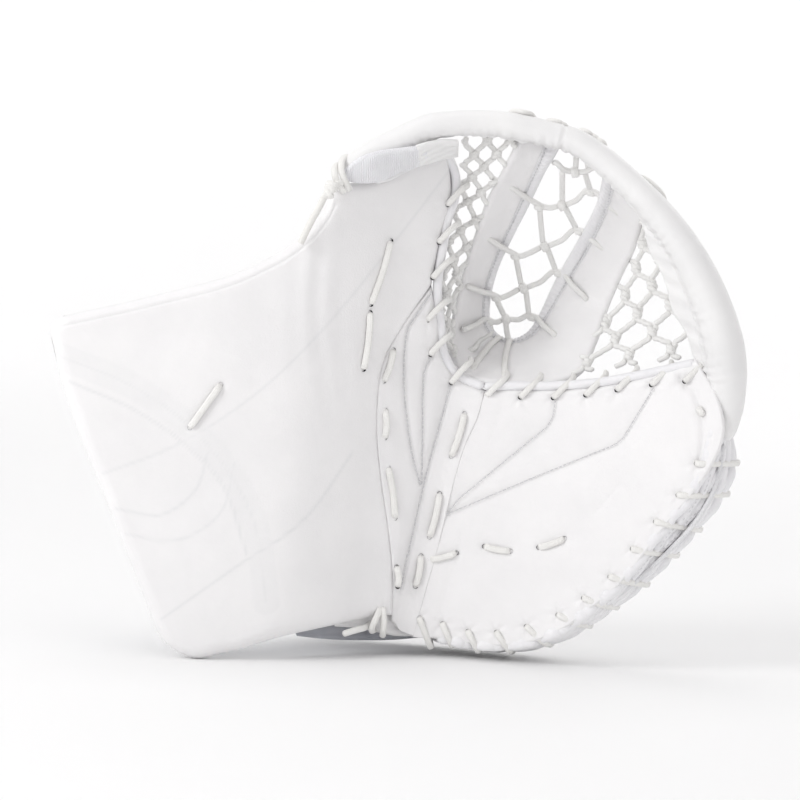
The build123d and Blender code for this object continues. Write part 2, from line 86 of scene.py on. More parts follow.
def cubic(p, slope, i, s, h=1.0):
    """The smooth line between points i and i + 1, at share s of a step of length h."""
    a, b, c, d = (1 + 2 * s) * (1 - s) ** 2, s * (1 - s) ** 2, s * s * (3 - 2 * s), s * s * (s - 1)
    return a * p[i] + b * h * slope[i] + c * p[i + 1] + d * h * slope[i + 1]


def hermite(points, at):
    """A smooth line through points, at distances along its chords."""
    p = np.array(points, float)
    chord = run_along(p)
    slope = np.gradient(p, chord, axis=0)
    t = np.asarray(at, float) * chord[-1]
    i = np.clip(np.searchsorted(chord, t, side="right") - 1, 0, len(p) - 2)
    h = (chord[i + 1] - chord[i])[:, None]
    return cubic(p, slope, i, (t - chord[i])[:, None] / h, h)


def respace(p, stations):
    """A dense line at even shares of its length."""
    run = run_along(p)
    t = np.asarray(stations) * run[-1]
    return np.stack([np.interp(t, run, p[:, k]) for k in range(p.shape[1])], axis=1)


def curve(points, count):
    """Points evenly along a smooth line."""
    return respace(hermite(points, np.linspace(0, 1, max(count * 6, 60))), np.linspace(0, 1, count))


def joined(stretches, stations):
    """Stretches in a row, sharp where they meet, at shares of the whole length."""
    dense = [hermite(points, np.linspace(0, 1, 200)) for points in stretches]
    return respace(np.concatenate(dense), stations)


def profile(points):
    """A smooth function through points with rising first coordinates."""
    start, height = np.array(points, float).T
    slope = np.gradient(height, start)

    def value(x):
        x = np.clip(np.asarray(x, float), start[0], start[-1])
        i = np.clip(np.searchsorted(start, x, side="right") - 1, 0, len(start) - 2)
        h = start[i + 1] - start[i]
        return cubic(height, slope, i, (x - start[i]) / h, h)
    return value


thumb_profile, finger_profile = profile(THUMB_FACE), profile(FINGER_FACE)
guard_profile, stall_profile = profile(GUARD_FACE), profile(THUMB_BACK)


def smoothstep(t):
    t = np.clip(t, 0, 1)
    return t * t * (3 - 2 * t)


def break_x(line, z):
    low, high = line
    return low[0] + (z - low[2]) / (high[2] - low[2]) * (high[0] - low[0])


def thumb_face(x, z):
    return thumb_profile(x - THUMB_LEAN * (z - THUMB_LEVEL))


def finger_face(x, z):
    return finger_profile(x - FINGER_LEAN * (z - FINGER_LEVEL))


def palm_face(x, z):
    """The palm's face, which goes from the thumb side's to the finger side's near the first break line."""
    share = smoothstep((x - break_x(BREAK_A, z) + 16) / 30)
    return thumb_face(x, z) * (1 - share) + finger_face(x, z) * share


def guard_face(x, z):
    return guard_profile(x - FINGER_LEAN * (z - FINGER_LEVEL))


def stall_face(x, z):
    return stall_profile(x - THUMB_LEAN * (z - THUMB_LEVEL))


def line_distance(x, z, line):
    """Distance of each place to a line of points."""
    p = np.stack([x.ravel(), z.ravel()], axis=1)
    best = np.full(len(p), 1e9)
    for a, b in zip(line[:-1], line[1:]):
        ab = b - a
        t = np.clip(((p - a) @ ab) / max(ab @ ab, 1e-9), 0, 1)
        best = np.minimum(best, np.linalg.norm(p - a - t[:, None] * ab, axis=1))
    return best.reshape(x.shape)


def field(x, z, scale, seed, octaves=2):
    """A smooth random field in -1 to 1."""
    out = np.empty(x.size)
    flat_x, flat_z = x.ravel() / scale, z.ravel() / scale
    for n in range(x.size):
        out[n] = noise.fractal((flat_x[n], flat_z[n], seed), 1.0, 2.0, octaves)
    return out.reshape(x.shape)


# ---- making pieces -------------------------------------------------------------------------------

def add_mesh(name, verts, faces, material, body=None, uv=None, extra=None, join=0.0):
    """A mesh piece from points in the drawn millimetres."""
    verts = np.asarray(verts, float).reshape(-1, 3)
    world = verts @ PLACE_NP[:3, :3].T + PLACE_NP[:3, 3]
    mesh = bpy.data.meshes.new(name)
    mesh.from_pydata(world.tolist(), [], faces)
    if uv is not None:
        layer = mesh.uv_layers.new(name="uv")
        index = np.empty(len(mesh.loops), int)
        mesh.loops.foreach_get("vertex_index", index)
        layer.data.foreach_set("uv", np.asarray(uv, np.float32)[index].ravel())
    for key, values in (extra or {}).items():
        attribute = mesh.attributes.new(key, "FLOAT", "POINT")
        attribute.data.foreach_set("value", np.asarray(values, np.float32).ravel())
    if join:
        work = bmesh.new()
        work.from_mesh(mesh)
        bmesh.ops.remove_doubles(work, verts=work.verts, dist=join)
        bmesh.ops.recalc_face_normals(work, faces=work.faces)
        work.to_mesh(mesh)
        work.free()
    mesh.polygons.foreach_set("use_smooth", [True] * len(mesh.polygons))
    mesh.materials.append(material)
    piece = bpy.data.objects.new(name, mesh)
    bpy.context.scene.collection.objects.link(piece)
    if body:
        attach(piece, body)
    return piece


def grid_faces(rows, columns, start=0, wrap=False, flip=False):
    """Quads over a grid of points."""
    faces = []
    for r in range(rows - 1):
        for c in range(columns if wrap else columns - 1):
            d = (c + 1) % columns
            quad = (start + r * columns + c, start + r * columns + d, start + (r + 1) * columns + d,
                    start + (r + 1) * columns + c)
            faces.append(quad[::-1] if flip else quad)
    return faces


WELD = 0.00002  # metres: the two sides of a closed piece meet along their edges


def two_sided(name, front, back, material, body=None, uv=None, extra=None):
    """A closed piece from two grids of points that meet along their edges, with the same uv on both."""
    rows, columns = front.shape[:2]
    verts = np.concatenate([front.reshape(-1, 3), back.reshape(-1, 3)])
    faces = grid_faces(rows, columns) + grid_faces(rows, columns, rows * columns, flip=True)
    if uv is not None:
        uv = np.tile(uv.reshape(-1, 2), (2, 1))
    return add_mesh(name, verts, faces, material, body, uv=uv, extra=extra, join=WELD)


def crowd(count, squeeze=0.65):
    """Shares from 0 to 1 that crowd towards both ends."""
    t = np.linspace(0, 1, count)
    return t - squeeze * np.sin(2 * np.pi * t) / (2 * np.pi)


def patch(bottom, right, top, left, columns, rows):
    """A grid of places inside four sides. Bottom and top run to the right, left and right run up."""
    u, v = crowd(columns), crowd(rows)
    b, t = joined(bottom, u), joined(top, u)
    l, r = joined(left, v), joined(right, v)
    uu, vv = u[None, :, None], v[:, None, None]
    sides = (1 - vv) * b[None] + vv * t[None] + (1 - uu) * l[:, None] + uu * r[:, None]
    corners = (1 - uu) * (1 - vv) * b[0] + uu * (1 - vv) * b[-1] + (1 - uu) * vv * t[0] + uu * vv * t[-1]
    grid = sides - corners
    rim = np.concatenate([b, r, t[::-1], l[::-1]])
    return grid[..., 0], grid[..., 1], rim


def between(low, high):
    """The four sides of a panel between a lower and an upper line that both run to the right."""
    return [low], [[low[-1], high[-1]]], [high], [[low[0], high[0]]]


def dome(distance, radius):
    """Height of a rounded edge, 0 at the edge and 1 from the radius inwards."""
    return np.sqrt(np.clip(1 - (1 - np.clip(distance / radius, 0, 1)) ** 2, 0, 1))


def groove(distance, width):
    return np.exp(-(distance / width) ** 2)


def padded_panel(name, sides, counts, face, thickness, radius, material, body=None, seams=(),
                 swell=0.0, swell_reach=18.0, ripple=0.35, ripple_scale=22.0, shape=None, marks=None, side=1,
                 seed=1.0, flush=None):
    """A closed padded panel: a rounded edge all round, sewn lines pressed in, and fuller between them.

    The shown side lies on the face, towards the front for side 1 and towards the back for side -1. The radius
    may be a function of the place. flush is 1 where the edge isn't seen, because another panel goes on it."""
    x, z, rim = patch(*sides, *counts)
    edge = line_distance(x, z, rim[::2])
    half = thickness / 2 * dome(edge, radius(x, z) if callable(radius) else radius)
    lines = [np.array(line, float) for line, _, _ in seams]
    hidden = flush(x, z) * 14 if flush else 0.0
    sewn = edge + hidden
    pressed = np.zeros_like(x)
    for line, (_, depth, width) in zip(lines, seams):
        away = line_distance(x, z, line)
        pressed = np.maximum(pressed, depth * groove(away, width))
        sewn = np.minimum(sewn, away)
    full = swell * (1 - np.exp(-sewn / swell_reach))
    calm = smoothstep((edge + hidden) / 12)
    wave = ripple * field(x, z, ripple_scale, seed) * calm
    out = half + full + wave - pressed * smoothstep(edge / 2)
    if shape is not None:
        out = out + shape(x, z, edge)
    middle = face(x, z) + side * thickness / 2
    front = np.stack([x, middle - side * out, z], axis=-1)
    back = np.stack([x, middle + side * half, z], axis=-1)
    ink = marks(x, z).ravel() if marks else np.zeros(x.size)
    extra = {"edge_wear_and_pucker_shade": np.tile(np.exp(-edge.ravel() / 2.5), 2), "mark": np.concatenate([ink, ink * 0])}
    return two_sided(name, front, back, material, body, extra=extra)


def frames(path):
    """Directions along and two across a line, carried along without twist."""
    along = np.gradient(path, axis=0)
    along /= np.linalg.norm(along, axis=1)[:, None]
    side = np.cross(along[0], (0, 1, 0.01))
    side /= np.linalg.norm(side)
    sides = []
    for direction in along:
        side = side - direction * (side @ direction)
        side /= np.linalg.norm(side)
        sides.append(side)
    sides = np.array(sides)
    return along, sides, np.cross(along, sides)


def tube_points(path, wide, thick, ring=12, flat_to=None):
    """Rings of points round a line. flat_to turns the flat side towards a direction."""
    along, side, other = frames(path)
    if flat_to is not None:
        other = flat_to - along * np.sum(along * flat_to, axis=1)[:, None]
        other /= np.maximum(np.linalg.norm(other, axis=1)[:, None], 1e-6)
        side = np.cross(along, other)
    angle = np.linspace(0, 2 * np.pi, ring, endpoint=False)
    wide = np.broadcast_to(wide, len(path)).astype(float)
    thick = np.broadcast_to(thick, len(path)).astype(float)
    run = run_along(path)
    near = np.minimum(run, run[-1] - run)
    soft = np.clip(dome(near + 0.15, np.maximum(wide, 1e-3) * 0.8), 0.15, 1)
    wide, thick = wide * soft, thick * soft
    # a power under 1 makes the section a little squarer than an ellipse
    ca, sa = (np.sign(part) * np.abs(part) ** 0.85 for part in (np.cos(angle), np.sin(angle)))
    return (path[:, None] + side[:, None] * (ca[None, :, None] * wide[:, None, None])
            + other[:, None] * (sa[None, :, None] * thick[:, None, None]))


def tubes(name, paths, wide, thick, material, body=None, ring=12, flats=None):
    """One piece of several cords, each a closed tube. The second texture coordinate is millimetres along."""
    verts, faces, uv = [], [], []
    for n, path in enumerate(paths):
        path = np.asarray(path, float)
        own_wide, own_thick = (size[n] if isinstance(size, list) else size for size in (wide, thick))
        rings = tube_points(path, own_wide, own_thick, ring, flats[n] if flats else None)
        start = len(verts)
        run = run_along(path) + 7.3 * n  # each cord's weave starts elsewhere
        for r, points in enumerate(rings):
            verts.extend(points)
            uv.extend([(abs(2 * k / ring - 1), run[r]) for k in range(ring)])
        faces += grid_faces(len(path), ring, start, wrap=True)
        faces.append(tuple(start + k for k in range(ring))[::-1])
        faces.append(tuple(start + (len(path) - 1) * ring + k for k in range(ring)))
    return add_mesh(name, verts, faces, material, body, uv=np.array(uv))


def stitch_row(lines, pitch=3.0, length=2.1, radius=0.28, normal=(0, -1, 0)):
    """Short threads along lines that lie on a surface, as paths for tubes."""
    paths, sunk = [], 0.1
    for line in lines:
        line = np.asarray(line, float)
        run = run_along(line)
        count = max(int(run[-1] / pitch), 1)
        for n in range(count):
            at = (n + 0.5) * run[-1] / count
            t = at + length * np.array([-0.5, -0.38, -0.15, 0.15, 0.38, 0.5])
            t = np.clip(t, 0, run[-1])
            points = np.stack([np.interp(t, run, line[:, k]) for k in range(3)], axis=1)
            lift = radius * np.array([-1.0, 0.2, 1, 1, 0.2, -1.0]) - sunk
            paths.append(points + lift[:, None] * np.array(normal, float))
    return paths


def on_face(face, line, out=0.0):
    """A line drawn in X and Z, laid on a face."""
    line = np.asarray(line, float)
    return np.stack([line[:, 0], face(line[:, 0], line[:, 1]) - out, line[:, 1]], axis=1)


# ---- materials -----------------------------------------------------------------------------------

class Nodes:
    """A short way of building a material's nodes."""

    def __init__(self, name):
        self.material = bpy.data.materials.new(name)
        self.material.use_nodes = True
        self.tree = self.material.node_tree
        self.shader = self.tree.nodes["Principled BSDF"]
        self.place = self.add("ShaderNodeTexCoord").outputs["Object"]

    def add(self, kind, **settings):
        node = self.tree.nodes.new(kind)
        for key, value in settings.items():
            setattr(node, key, value)
        return node

    def link(self, source, target):
        if isinstance(source, (int, float, tuple, list)):
            target.default_value = source
        else:
            self.tree.links.new(source, target)

    def math(self, operation, a, b=0.0, clamp=False):
        node = self.add("ShaderNodeMath", operation=operation, use_clamp=clamp)
        self.link(a, node.inputs[0])
        self.link(b, node.inputs[1])
        return node.outputs[0]

    def times(self, a, b, clamp=False):
        return self.math("MULTIPLY", a, b, clamp)

    def rest(self, a):
        return self.math("SUBTRACT", 1.0, a)

    def sine(self, a, turns=1.0):
        return self.math("SINE", self.times(a, turns))

    def positive(self, a):
        """From -1 to 1 into 0 to 1."""
        return self.times(self.math("ADD", a, 1.0), 0.5)

    def noise(self, scale, detail=4.0, rough=0.55, stretch=None):
        place = self.place
        if stretch:
            mapping = self.add("ShaderNodeMapping")
            mapping.inputs["Scale"].default_value = stretch
            self.link(place, mapping.inputs["Vector"])
            place = mapping.outputs[0]
        node = self.add("ShaderNodeTexNoise")
        self.link(place, node.inputs["Vector"])
        node.inputs["Scale"].default_value = scale
        node.inputs["Detail"].default_value = detail
        node.inputs["Roughness"].default_value = rough
        return node.outputs["Fac"]

    def cells(self, scale):
        node = self.add("ShaderNodeTexVoronoi")
        self.link(self.place, node.inputs["Vector"])
        node.inputs["Scale"].default_value = scale
        return node.outputs["Distance"]

    def ramp(self, value, low, high, to_low=0.0, to_high=1.0):
        node = self.add("ShaderNodeMapRange")
        self.link(value, node.inputs["Value"])
        for key, number in zip(("From Min", "From Max", "To Min", "To Max"), (low, high, to_low, to_high)):
            node.inputs[key].default_value = number
        return node.outputs[0]

    def mix(self, share, a, b):
        node = self.add("ShaderNodeMix", data_type="RGBA")
        self.link(share, node.inputs[0])
        self.link(a, node.inputs[6])
        self.link(b, node.inputs[7])
        return node.outputs[2]

    def attribute(self, name):
        return self.add("ShaderNodeAttribute", attribute_name=name).outputs["Fac"]

    def along(self):
        """The two texture coordinates of a cord or strip."""
        split = self.add("ShaderNodeSeparateXYZ")
        self.link(self.add("ShaderNodeUVMap", uv_map="uv").outputs[0], split.inputs[0])
        return split.outputs["X"], split.outputs["Y"]

    def crevice(self):
        """0 in narrow dents and 1 on open faces, from the mesh."""
        return self.ramp(self.add("ShaderNodeNewGeometry").outputs["Pointiness"], 0.42, 0.5)

    def bump(self, layers):
        """Heights in metres, each with a share, one over another."""
        normal = None
        for height, depth in layers:
            node = self.add("ShaderNodeBump")
            node.inputs["Distance"].default_value = depth
            node.inputs["Strength"].default_value = 1.0
            self.link(height, node.inputs["Height"])
            if normal is not None:
                self.link(normal, node.inputs["Normal"])
            normal = node.outputs[0]
        self.link(normal, self.shader.inputs["Normal"])

    def finish(self, color=None, rough=None, **inputs):
        if color is not None:
            self.link(color, self.shader.inputs["Base Color"])
        if rough is not None:
            self.link(rough, self.shader.inputs["Roughness"])
        for key, value in inputs.items():
            self.link(value, self.shader.inputs[key.replace("_", " ")])
        return self.material


def darker(color, share):
    return tuple(c * share for c in color[:3]) + (1,)


def leather(name, light, shade, grain=900.0, depth=0.00006, rough=(0.36, 0.52), print_color=None):
    """Coated synthetic leather: fine pebbles, soft creases, painted shade in the dents, wear at the edges and
    painted shade in the rim's puckers.
    """
    n = Nodes(name)
    pebbles = n.cells(grain)
    fine = n.noise(grain * 1.9, 3.0)
    creases = n.noise(120.0, 5.0, 0.6)
    soft = n.noise(22.0, 3.0)
    base = n.mix(n.ramp(soft, 0.35, 0.68), shade, light)
    # painted shade: darker in narrow dents, read from the mesh's pointiness
    dent_shade = n.times(n.rest(n.crevice()), 0.35, clamp=True)
    base = n.mix(dent_shade, base, darker(shade, 0.72))
    if print_color:
        base = n.mix(n.times(n.attribute("mark"), 1.0, clamp=True), base, print_color)
    # darker at panel edges for wear, and painted shade in the rim's pucker dents
    wear_and_pucker_shade = n.times(n.attribute("edge_wear_and_pucker_shade"), n.ramp(n.noise(260.0, 4.0), 0.35, 0.7), clamp=True)
    base = n.mix(n.times(wear_and_pucker_shade, 0.22), base, darker(shade, 0.8))
    roughness = n.ramp(n.math("ADD", n.times(creases, 0.6), n.times(soft, 0.4)), 0.3, 0.7, *rough)
    n.bump([(creases, depth * 4.5), (pebbles, depth), (fine, depth * 0.6)])
    return n.finish(base, roughness, Sheen_Weight=0.06, Coat_Weight=0.06, Coat_Roughness=0.35,
                    Specular_IOR_Level=0.45, Subsurface_Weight=0.04, Subsurface_Radius=(0.002, 0.002, 0.002))


def braid(name, light, shade, pitch=2.4, depth=0.00018):
    """Waxed braided lace: two sets of strands that cross at a slant."""
    n = Nodes(name)
    u, v = n.along()
    round_it, along_it = n.times(u, 3.0), n.math("DIVIDE", v, pitch)
    left = n.sine(n.math("ADD", round_it, along_it), 2 * math.pi)
    right = n.sine(n.math("SUBTRACT", round_it, along_it), 2 * math.pi)
    weave = n.positive(n.times(left, right))
    fuzz = n.noise(1500.0, 3.0)
    tone = n.mix(n.ramp(n.noise(60.0, 2.0), 0.3, 0.7), shade, light)
    # painted shade: darker in the gaps between the strands, where the weave is low
    tone = n.mix(n.times(n.rest(weave), 0.10), tone, darker(shade, 0.85))
    n.bump([(weave, depth), (fuzz, 0.00008)])
    return n.finish(tone, n.ramp(fuzz, 0.3, 0.7, 0.47, 0.65), Sheen_Weight=0.25, Sheen_Roughness=0.4)


def cloth(name, light, shade, threads=1400.0, depth=0.00012, rough=0.75, sheen=0.3, knit=None):
    """Woven or knitted cloth: threads both ways, a soft fuzz, uneven tone. knit sets the ribs' number."""
    n = Nodes(name)
    split = n.add("ShaderNodeSeparateXYZ")
    n.link(n.place, split.inputs[0])
    x, y, z = (split.outputs[axis] for axis in "XYZ")
    across = n.sine(n.math("ADD", x, n.times(y, 0.8)), threads * 3.1)
    up = n.sine(n.math("ADD", z, n.times(y, 0.6)), threads * 3.1)
    weave = n.positive(n.times(across, up))
    fuzz = n.noise(1700.0, 4.0)
    layers = [(weave, depth), (fuzz, depth * 0.7)]
    tone = n.mix(n.ramp(n.noise(45.0, 3.0), 0.32, 0.7), shade, light)
    tone = n.mix(n.times(weave, 0.25), tone, darker(shade, 0.85))
    if knit:
        ribs = n.positive(n.sine(n.along()[1], knit))
        layers = [(ribs, 0.0003)] + layers
        # painted shade: darker in the grooves between the ribs
        tone = n.mix(n.times(n.rest(ribs), 0.15), tone, darker(shade, 0.8))
    n.bump(layers)
    return n.finish(tone, n.ramp(fuzz, 0.3, 0.7, rough - 0.1, rough + 0.1), Sheen_Weight=sheen,
                    Sheen_Roughness=0.5)


def tape(name, light, shade, hooks):
    """Hook tape, with rows of small hooks, or loop tape, with a tangle of loops."""
    n = Nodes(name)
    if hooks:
        height, depth = n.math("POWER", n.rest(n.cells(620.0)), 3.0), 0.0007
    else:
        height, depth = n.noise(900.0, 6.0, 0.7), 0.0006
    # painted shade: the tone follows the height, darker in the dents and lighter on the raised hooks and
    # loops
    tone = n.mix(height, shade, light)
    n.bump([(height, depth)])
    return n.finish(tone, 0.8, Sheen_Weight=0.5)


def plastic(name, light, shade):
    """Extruded plastic: drawn lines along it, and scuffs."""
    n = Nodes(name)
    drawn = n.noise(400.0, 4.0, 0.6, stretch=(1, 1, 0.15))
    scuff = n.ramp(n.noise(180.0, 6.0, 0.7), 0.55, 0.75)
    n.bump([(drawn, 0.00008)])
    return n.finish(n.mix(scuff, shade, light), n.ramp(drawn, 0.3, 0.7, 0.35, 0.55))


def shade_of(r, g, b):
    return (r, g, b, 1)


white_leather = leather("white_leather", shade_of(0.925, 0.915, 0.917), shade_of(0.885, 0.876, 0.88),
                        print_color=shade_of(0.70, 0.71, 0.72))
rim_leather = leather("rim_leather", shade_of(0.91, 0.905, 0.90), shade_of(0.86, 0.855, 0.855), grain=1100.0,
                      depth=0.00005)
binding_leather = leather("binding_leather", shade_of(0.915, 0.91, 0.92), shade_of(0.865, 0.86, 0.88),
                          grain=1300.0, depth=0.00007, rough=(0.45, 0.6))
heel_cloth = cloth("heel_cloth", (0.50, 0.51, 0.55, 1), (0.36, 0.37, 0.41, 1), threads=1500.0)
lace_white = braid("lace_white", shade_of(0.93, 0.922, 0.90), shade_of(0.88, 0.87, 0.845))
net_white = braid("net_white", shade_of(0.93, 0.925, 0.91), shade_of(0.88, 0.873, 0.855), pitch=2.1)
thread_white = braid("thread_white", shade_of(0.80, 0.80, 0.81), shade_of(0.70, 0.70, 0.72), pitch=0.8,
                     depth=0.00008)
rib_knit = cloth("rib_knit", shade_of(0.95, 0.95, 0.975), shade_of(0.92, 0.92, 0.95), threads=900.0,
                 depth=0.00005, knit=4.6)
white_mesh = cloth("white_mesh", shade_of(0.86, 0.86, 0.87), shade_of(0.78, 0.78, 0.80), threads=700.0,
                   depth=0.0003)
hand_lining = cloth("hand_lining", shade_of(0.26, 0.29, 0.35), shade_of(0.17, 0.19, 0.24), threads=1000.0,
                    sheen=0.6)
strap_web = cloth("strap_web", shade_of(0.86, 0.86, 0.86), shade_of(0.78, 0.78, 0.79), threads=620.0,
                  depth=0.00035)
hook_tape = tape("hook_tape", shade_of(0.13, 0.13, 0.14), shade_of(0.05, 0.05, 0.055), True)
loop_tape = tape("loop_tape", shade_of(0.80, 0.80, 0.81), shade_of(0.66, 0.66, 0.68), False)
rod_plastic = plastic("rod_plastic", shade_of(0.10, 0.10, 0.11), shade_of(0.05, 0.05, 0.05))
sheet_plastic = plastic("sheet_plastic", shade_of(0.78, 0.78, 0.76), shade_of(0.70, 0.70, 0.68))
# painted shade: near-black cups stand in for the shade inside the punched holes
painted_hole_shade = cloth("painted_hole_shade", shade_of(0.035, 0.035, 0.04), shade_of(0.015, 0.015, 0.02), rough=0.9,
                  sheen=0.0)


# ---- laces and threads ---------------------------------------------------------------------------

def laces(name, paths, body=None, replaced=(), bend=None, wide=LACE / 2, thick=1.5, flat=False):
    """Braided laces as one piece. A flat one keeps its broad side to the front."""
    flats = [np.array((0.0, -1.0, 0.0))] * len(paths) if flat else None
    piece = tubes(name, paths, wide, thick, lace_white, body, flats=flats)
    if bend:
        bend(piece)
    if replaced:
        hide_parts(*replaced)
    return piece


def threads(name, paths, body=None, wide=0.36, thick=0.32):
    return tubes(name, paths, wide, thick, thread_white, body, ring=6)


# ---- camera, light and floor ---------------------------------------------------------------------

CAMERA_FROM = 2400.0  # millimetres from the glove
CAMERA_RISE = math.radians(5.0)
SEEN_WIDTH = 508.0  # millimetres across the picture at the glove
LOOK_AT = Vector((0.0, 0.0, 165.0))


def make_camera():
    data = bpy.data.cameras.new("camera")
    data.sensor_width = 36.0
    data.lens = 36.0 * CAMERA_FROM / SEEN_WIDTH
    data.clip_start, data.clip_end = 0.05, 50.0
    camera = bpy.data.objects.new("camera", data)
    bpy.context.scene.collection.objects.link(camera)
    back = Vector((0.0, -math.cos(CAMERA_RISE), math.sin(CAMERA_RISE)))
    up = Vector((0.0, math.sin(CAMERA_RISE), math.cos(CAMERA_RISE)))
    turn = Matrix((Vector((1.0, 0.0, 0.0)), up, back)).transposed().to_4x4()
    place = Matrix.Translation((LOOK_AT + back * CAMERA_FROM) * 0.001) @ turn
    camera.matrix_world = TURNED @ place
    bpy.context.scene.camera = camera


def area_light(name, place, aim, size, power, color=(1, 1, 1)):
    data = bpy.data.lights.new(name, "AREA")
    data.shape, data.size, data.energy, data.color = "SQUARE", size, power, color
    light = bpy.data.objects.new(name, data)
    bpy.context.scene.collection.objects.link(light)
    light.location = place
    light.rotation_euler = (Vector(aim) - Vector(place)).to_track_quat("-Z", "Y").to_euler()


def make_stage():
    n = Nodes("floor")
    n.bump([(n.noise(30.0, 3.0), 0.0002)])
    paper = n.finish(n.mix(n.noise(3.0), shade_of(0.975, 0.975, 0.975), shade_of(0.985, 0.985, 0.985)), 0.9)
    flat, bend, rise, sectors = 2.9, 0.9, 3.2, 72
    path = [(0.8, 0.0), (flat, 0.0)]
    path += [(flat + bend * math.sin(a), bend - bend * math.cos(a))
             for a in np.linspace(0.1, math.pi / 2, 14)]
    path.append((flat + bend, rise))
    turn = [2 * math.pi * k / sectors for k in range(sectors)]
    verts = [(0.0, 0.0, 0.0)] + [(r * math.cos(a), r * math.sin(a), z) for r, z in path for a in turn]
    faces = [(0, 1 + k, 1 + (k + 1) % sectors) for k in range(sectors)]
    for ring in range(len(path) - 1):
        here, there = 1 + ring * sectors, 1 + (ring + 1) * sectors
        faces += [(here + k, there + k, there + (k + 1) % sectors, here + (k + 1) % sectors)
                  for k in range(sectors)]
    mesh = bpy.data.meshes.new("backdrop")
    mesh.from_pydata(verts, [], faces)
    mesh.polygons.foreach_set("use_smooth", [True] * len(mesh.polygons))
    mesh.materials.append(paper)
    backdrop = bpy.data.objects.new("backdrop", mesh)
    bpy.context.scene.collection.objects.link(backdrop)

    world = bpy.data.worlds.new("studio")
    bpy.context.scene.world = world
    world.use_nodes = True
    world.node_tree.nodes["Background"].inputs["Color"].default_value = (0.98, 0.97, 0.975, 1)
    world.node_tree.nodes["Background"].inputs["Strength"].default_value = 0.69
    area_light("key", (-1.7, -1.35, 1.3), (0.0, 0.0, 0.17), 0.9, 19.0)
    area_light("fill", (1.4, -1.8, 0.9), (0.0, 0.0, 0.15), 0.9, 0.8, (1.0, 0.99, 0.99))
    area_light("top", (-0.1, 0.3, 1.9), (0.0, 0.0, 0.2), 1.0, 4.0)
    area_light("behind", (0.9, 1.5, 1.3), (0.0, 0.1, 0.2), 0.8, 2.2)
    for side in (-1, 1):
        area_light(f"paper_back_{side}", (side * 1.7, 2.0, 1.5), (side * 0.8, 3.7, 0.8), 1.0, 9.0)
        area_light(f"paper_front_{side}", (side * 2.1, -2.0, 1.5), (side * 1.4, -3.6, 0.8), 1.0, 1.6)
    scene = bpy.context.scene
    scene.view_settings.view_transform = "Standard"
    scene.view_settings.exposure = 0.0


make_camera()
make_stage()


# ---- board, palm and their seams -----------------------------------------------------------------

def bent(points, count):
    """A line that is straight between its points."""
    return respace(np.array(points, float), np.linspace(0, 1, count))


def across_break(piece):
    """Bakes the piece's placing into its points; the piece is not bent over a break line."""
    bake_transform(piece)


def over_a(piece, before=9, after=9):
    across_break(piece)
    return piece


def over_b(piece, before=9, after=22):
    across_break(piece)
    return piece


PALM_SPLIT = [(8, 9), (14, 32), (22, 60), (28.5, 86), (32, 101), (41.3, 133), (49.5, 152), (54, 168.5)]
SEAM_CREASE = [(21, 233), (12, 220), (5, 209), (3.2, 197), (4.4, 152), (8, 128), (13.3, 108)]
SEAM_MIDDLE = [(20.3, 191), (16.5, 184), (14.8, 170), (14.6, 146), (14, 108)]
SEAM_STRIP = [(32.6, 172), (25.4, 146), (15.2, 108), (9.5, 82), (4, 58), (0.5, 40)]
SEAM_LONG_V = [(29.5, 88.5), (38, 99), (94, 146), (98, 153), (100, 167)]
SEAM_FAR_V = [(29.5, 88.5), (137, 136), (142, 140.5), (161, 173)]
SEAM_SHORT = [(125, 93), (139, 110)]

BOARD_PRINTS = [[(-212, 196), (-165, 176), (-120, 140), (-92, 92), (-84, 40)],
                [(-206, 180), (-162, 160), (-112, 116), (-96, 70)],
                [(33, 312), (-6, 262), (-46, 214), (-90, 172), (-140, 140), (-186, 122)],
                [(-178, 100), (-150, 96), (-128, 112), (-120, 136)],
                [(-172, 84), (-140, 80), (-112, 98), (-104, 128)],
                [(-150, 30), (-104, 62), (-60, 92), (-30, 132)]]


def board_marks(x, z):
    """Faint printed lines and one soft band, with no lettering."""
    ink = np.zeros_like(x)
    for number, line in enumerate(BOARD_PRINTS):
        away = line_distance(x, z, curve(line, 60))
        ink = np.maximum(ink, (0.34 if number % 2 else 0.26) * np.exp(-(away / 0.9) ** 2))
    band = line_distance(x, z, curve(BOARD_PRINTS[0], 60))
    ink = np.maximum(ink, 0.10 * smoothstep((9 - band) / 1.2))
    return ink


def board_radius(x, z):
    """Thick and rounded along the cuff, thin where the board meets the palm."""
    inner = line_distance(x, z, joined([BOARD_RIGHT, THUMB_EDGE], np.linspace(0, 1, 60)))
    return 2.2 + 6.8 * smoothstep(inner / 18)


def board_shape(x, z, edge):
    """The welt along the cuff, creases at the thumb's bend, and shallow dents where laces pull."""
    outer = line_distance(x, z, curve(CUFF_RISE, 90))
    welt = -0.6 * np.exp(-((outer - 6.0) / 0.8) ** 2) + 0.3 * np.exp(-((outer - 3.6) / 1.6) ** 2)
    bend = line_distance(x, z, curve([(-44, 318), (-52, 262), (-48, 200), (-42, 140), (-36, 60)], 60))
    folds = 0.5 * np.exp(-(bend / 16) ** 2) * np.sin(x * 0.42 + 1.6 * np.sin(z * 0.035))
    folds = folds * np.exp(-((z - 240) / 70.0) ** 2)
    pull = np.zeros_like(x)
    for (ax, az), (bx, bz) in BOARD_RUNS + CUFF_RUNS:
        pull += 0.9 * np.exp(-(line_distance(x, z, np.array([(ax, az), (bx, bz)], float)) / 3.6) ** 2)
    return welt + folds - pull * smoothstep(edge / 10)


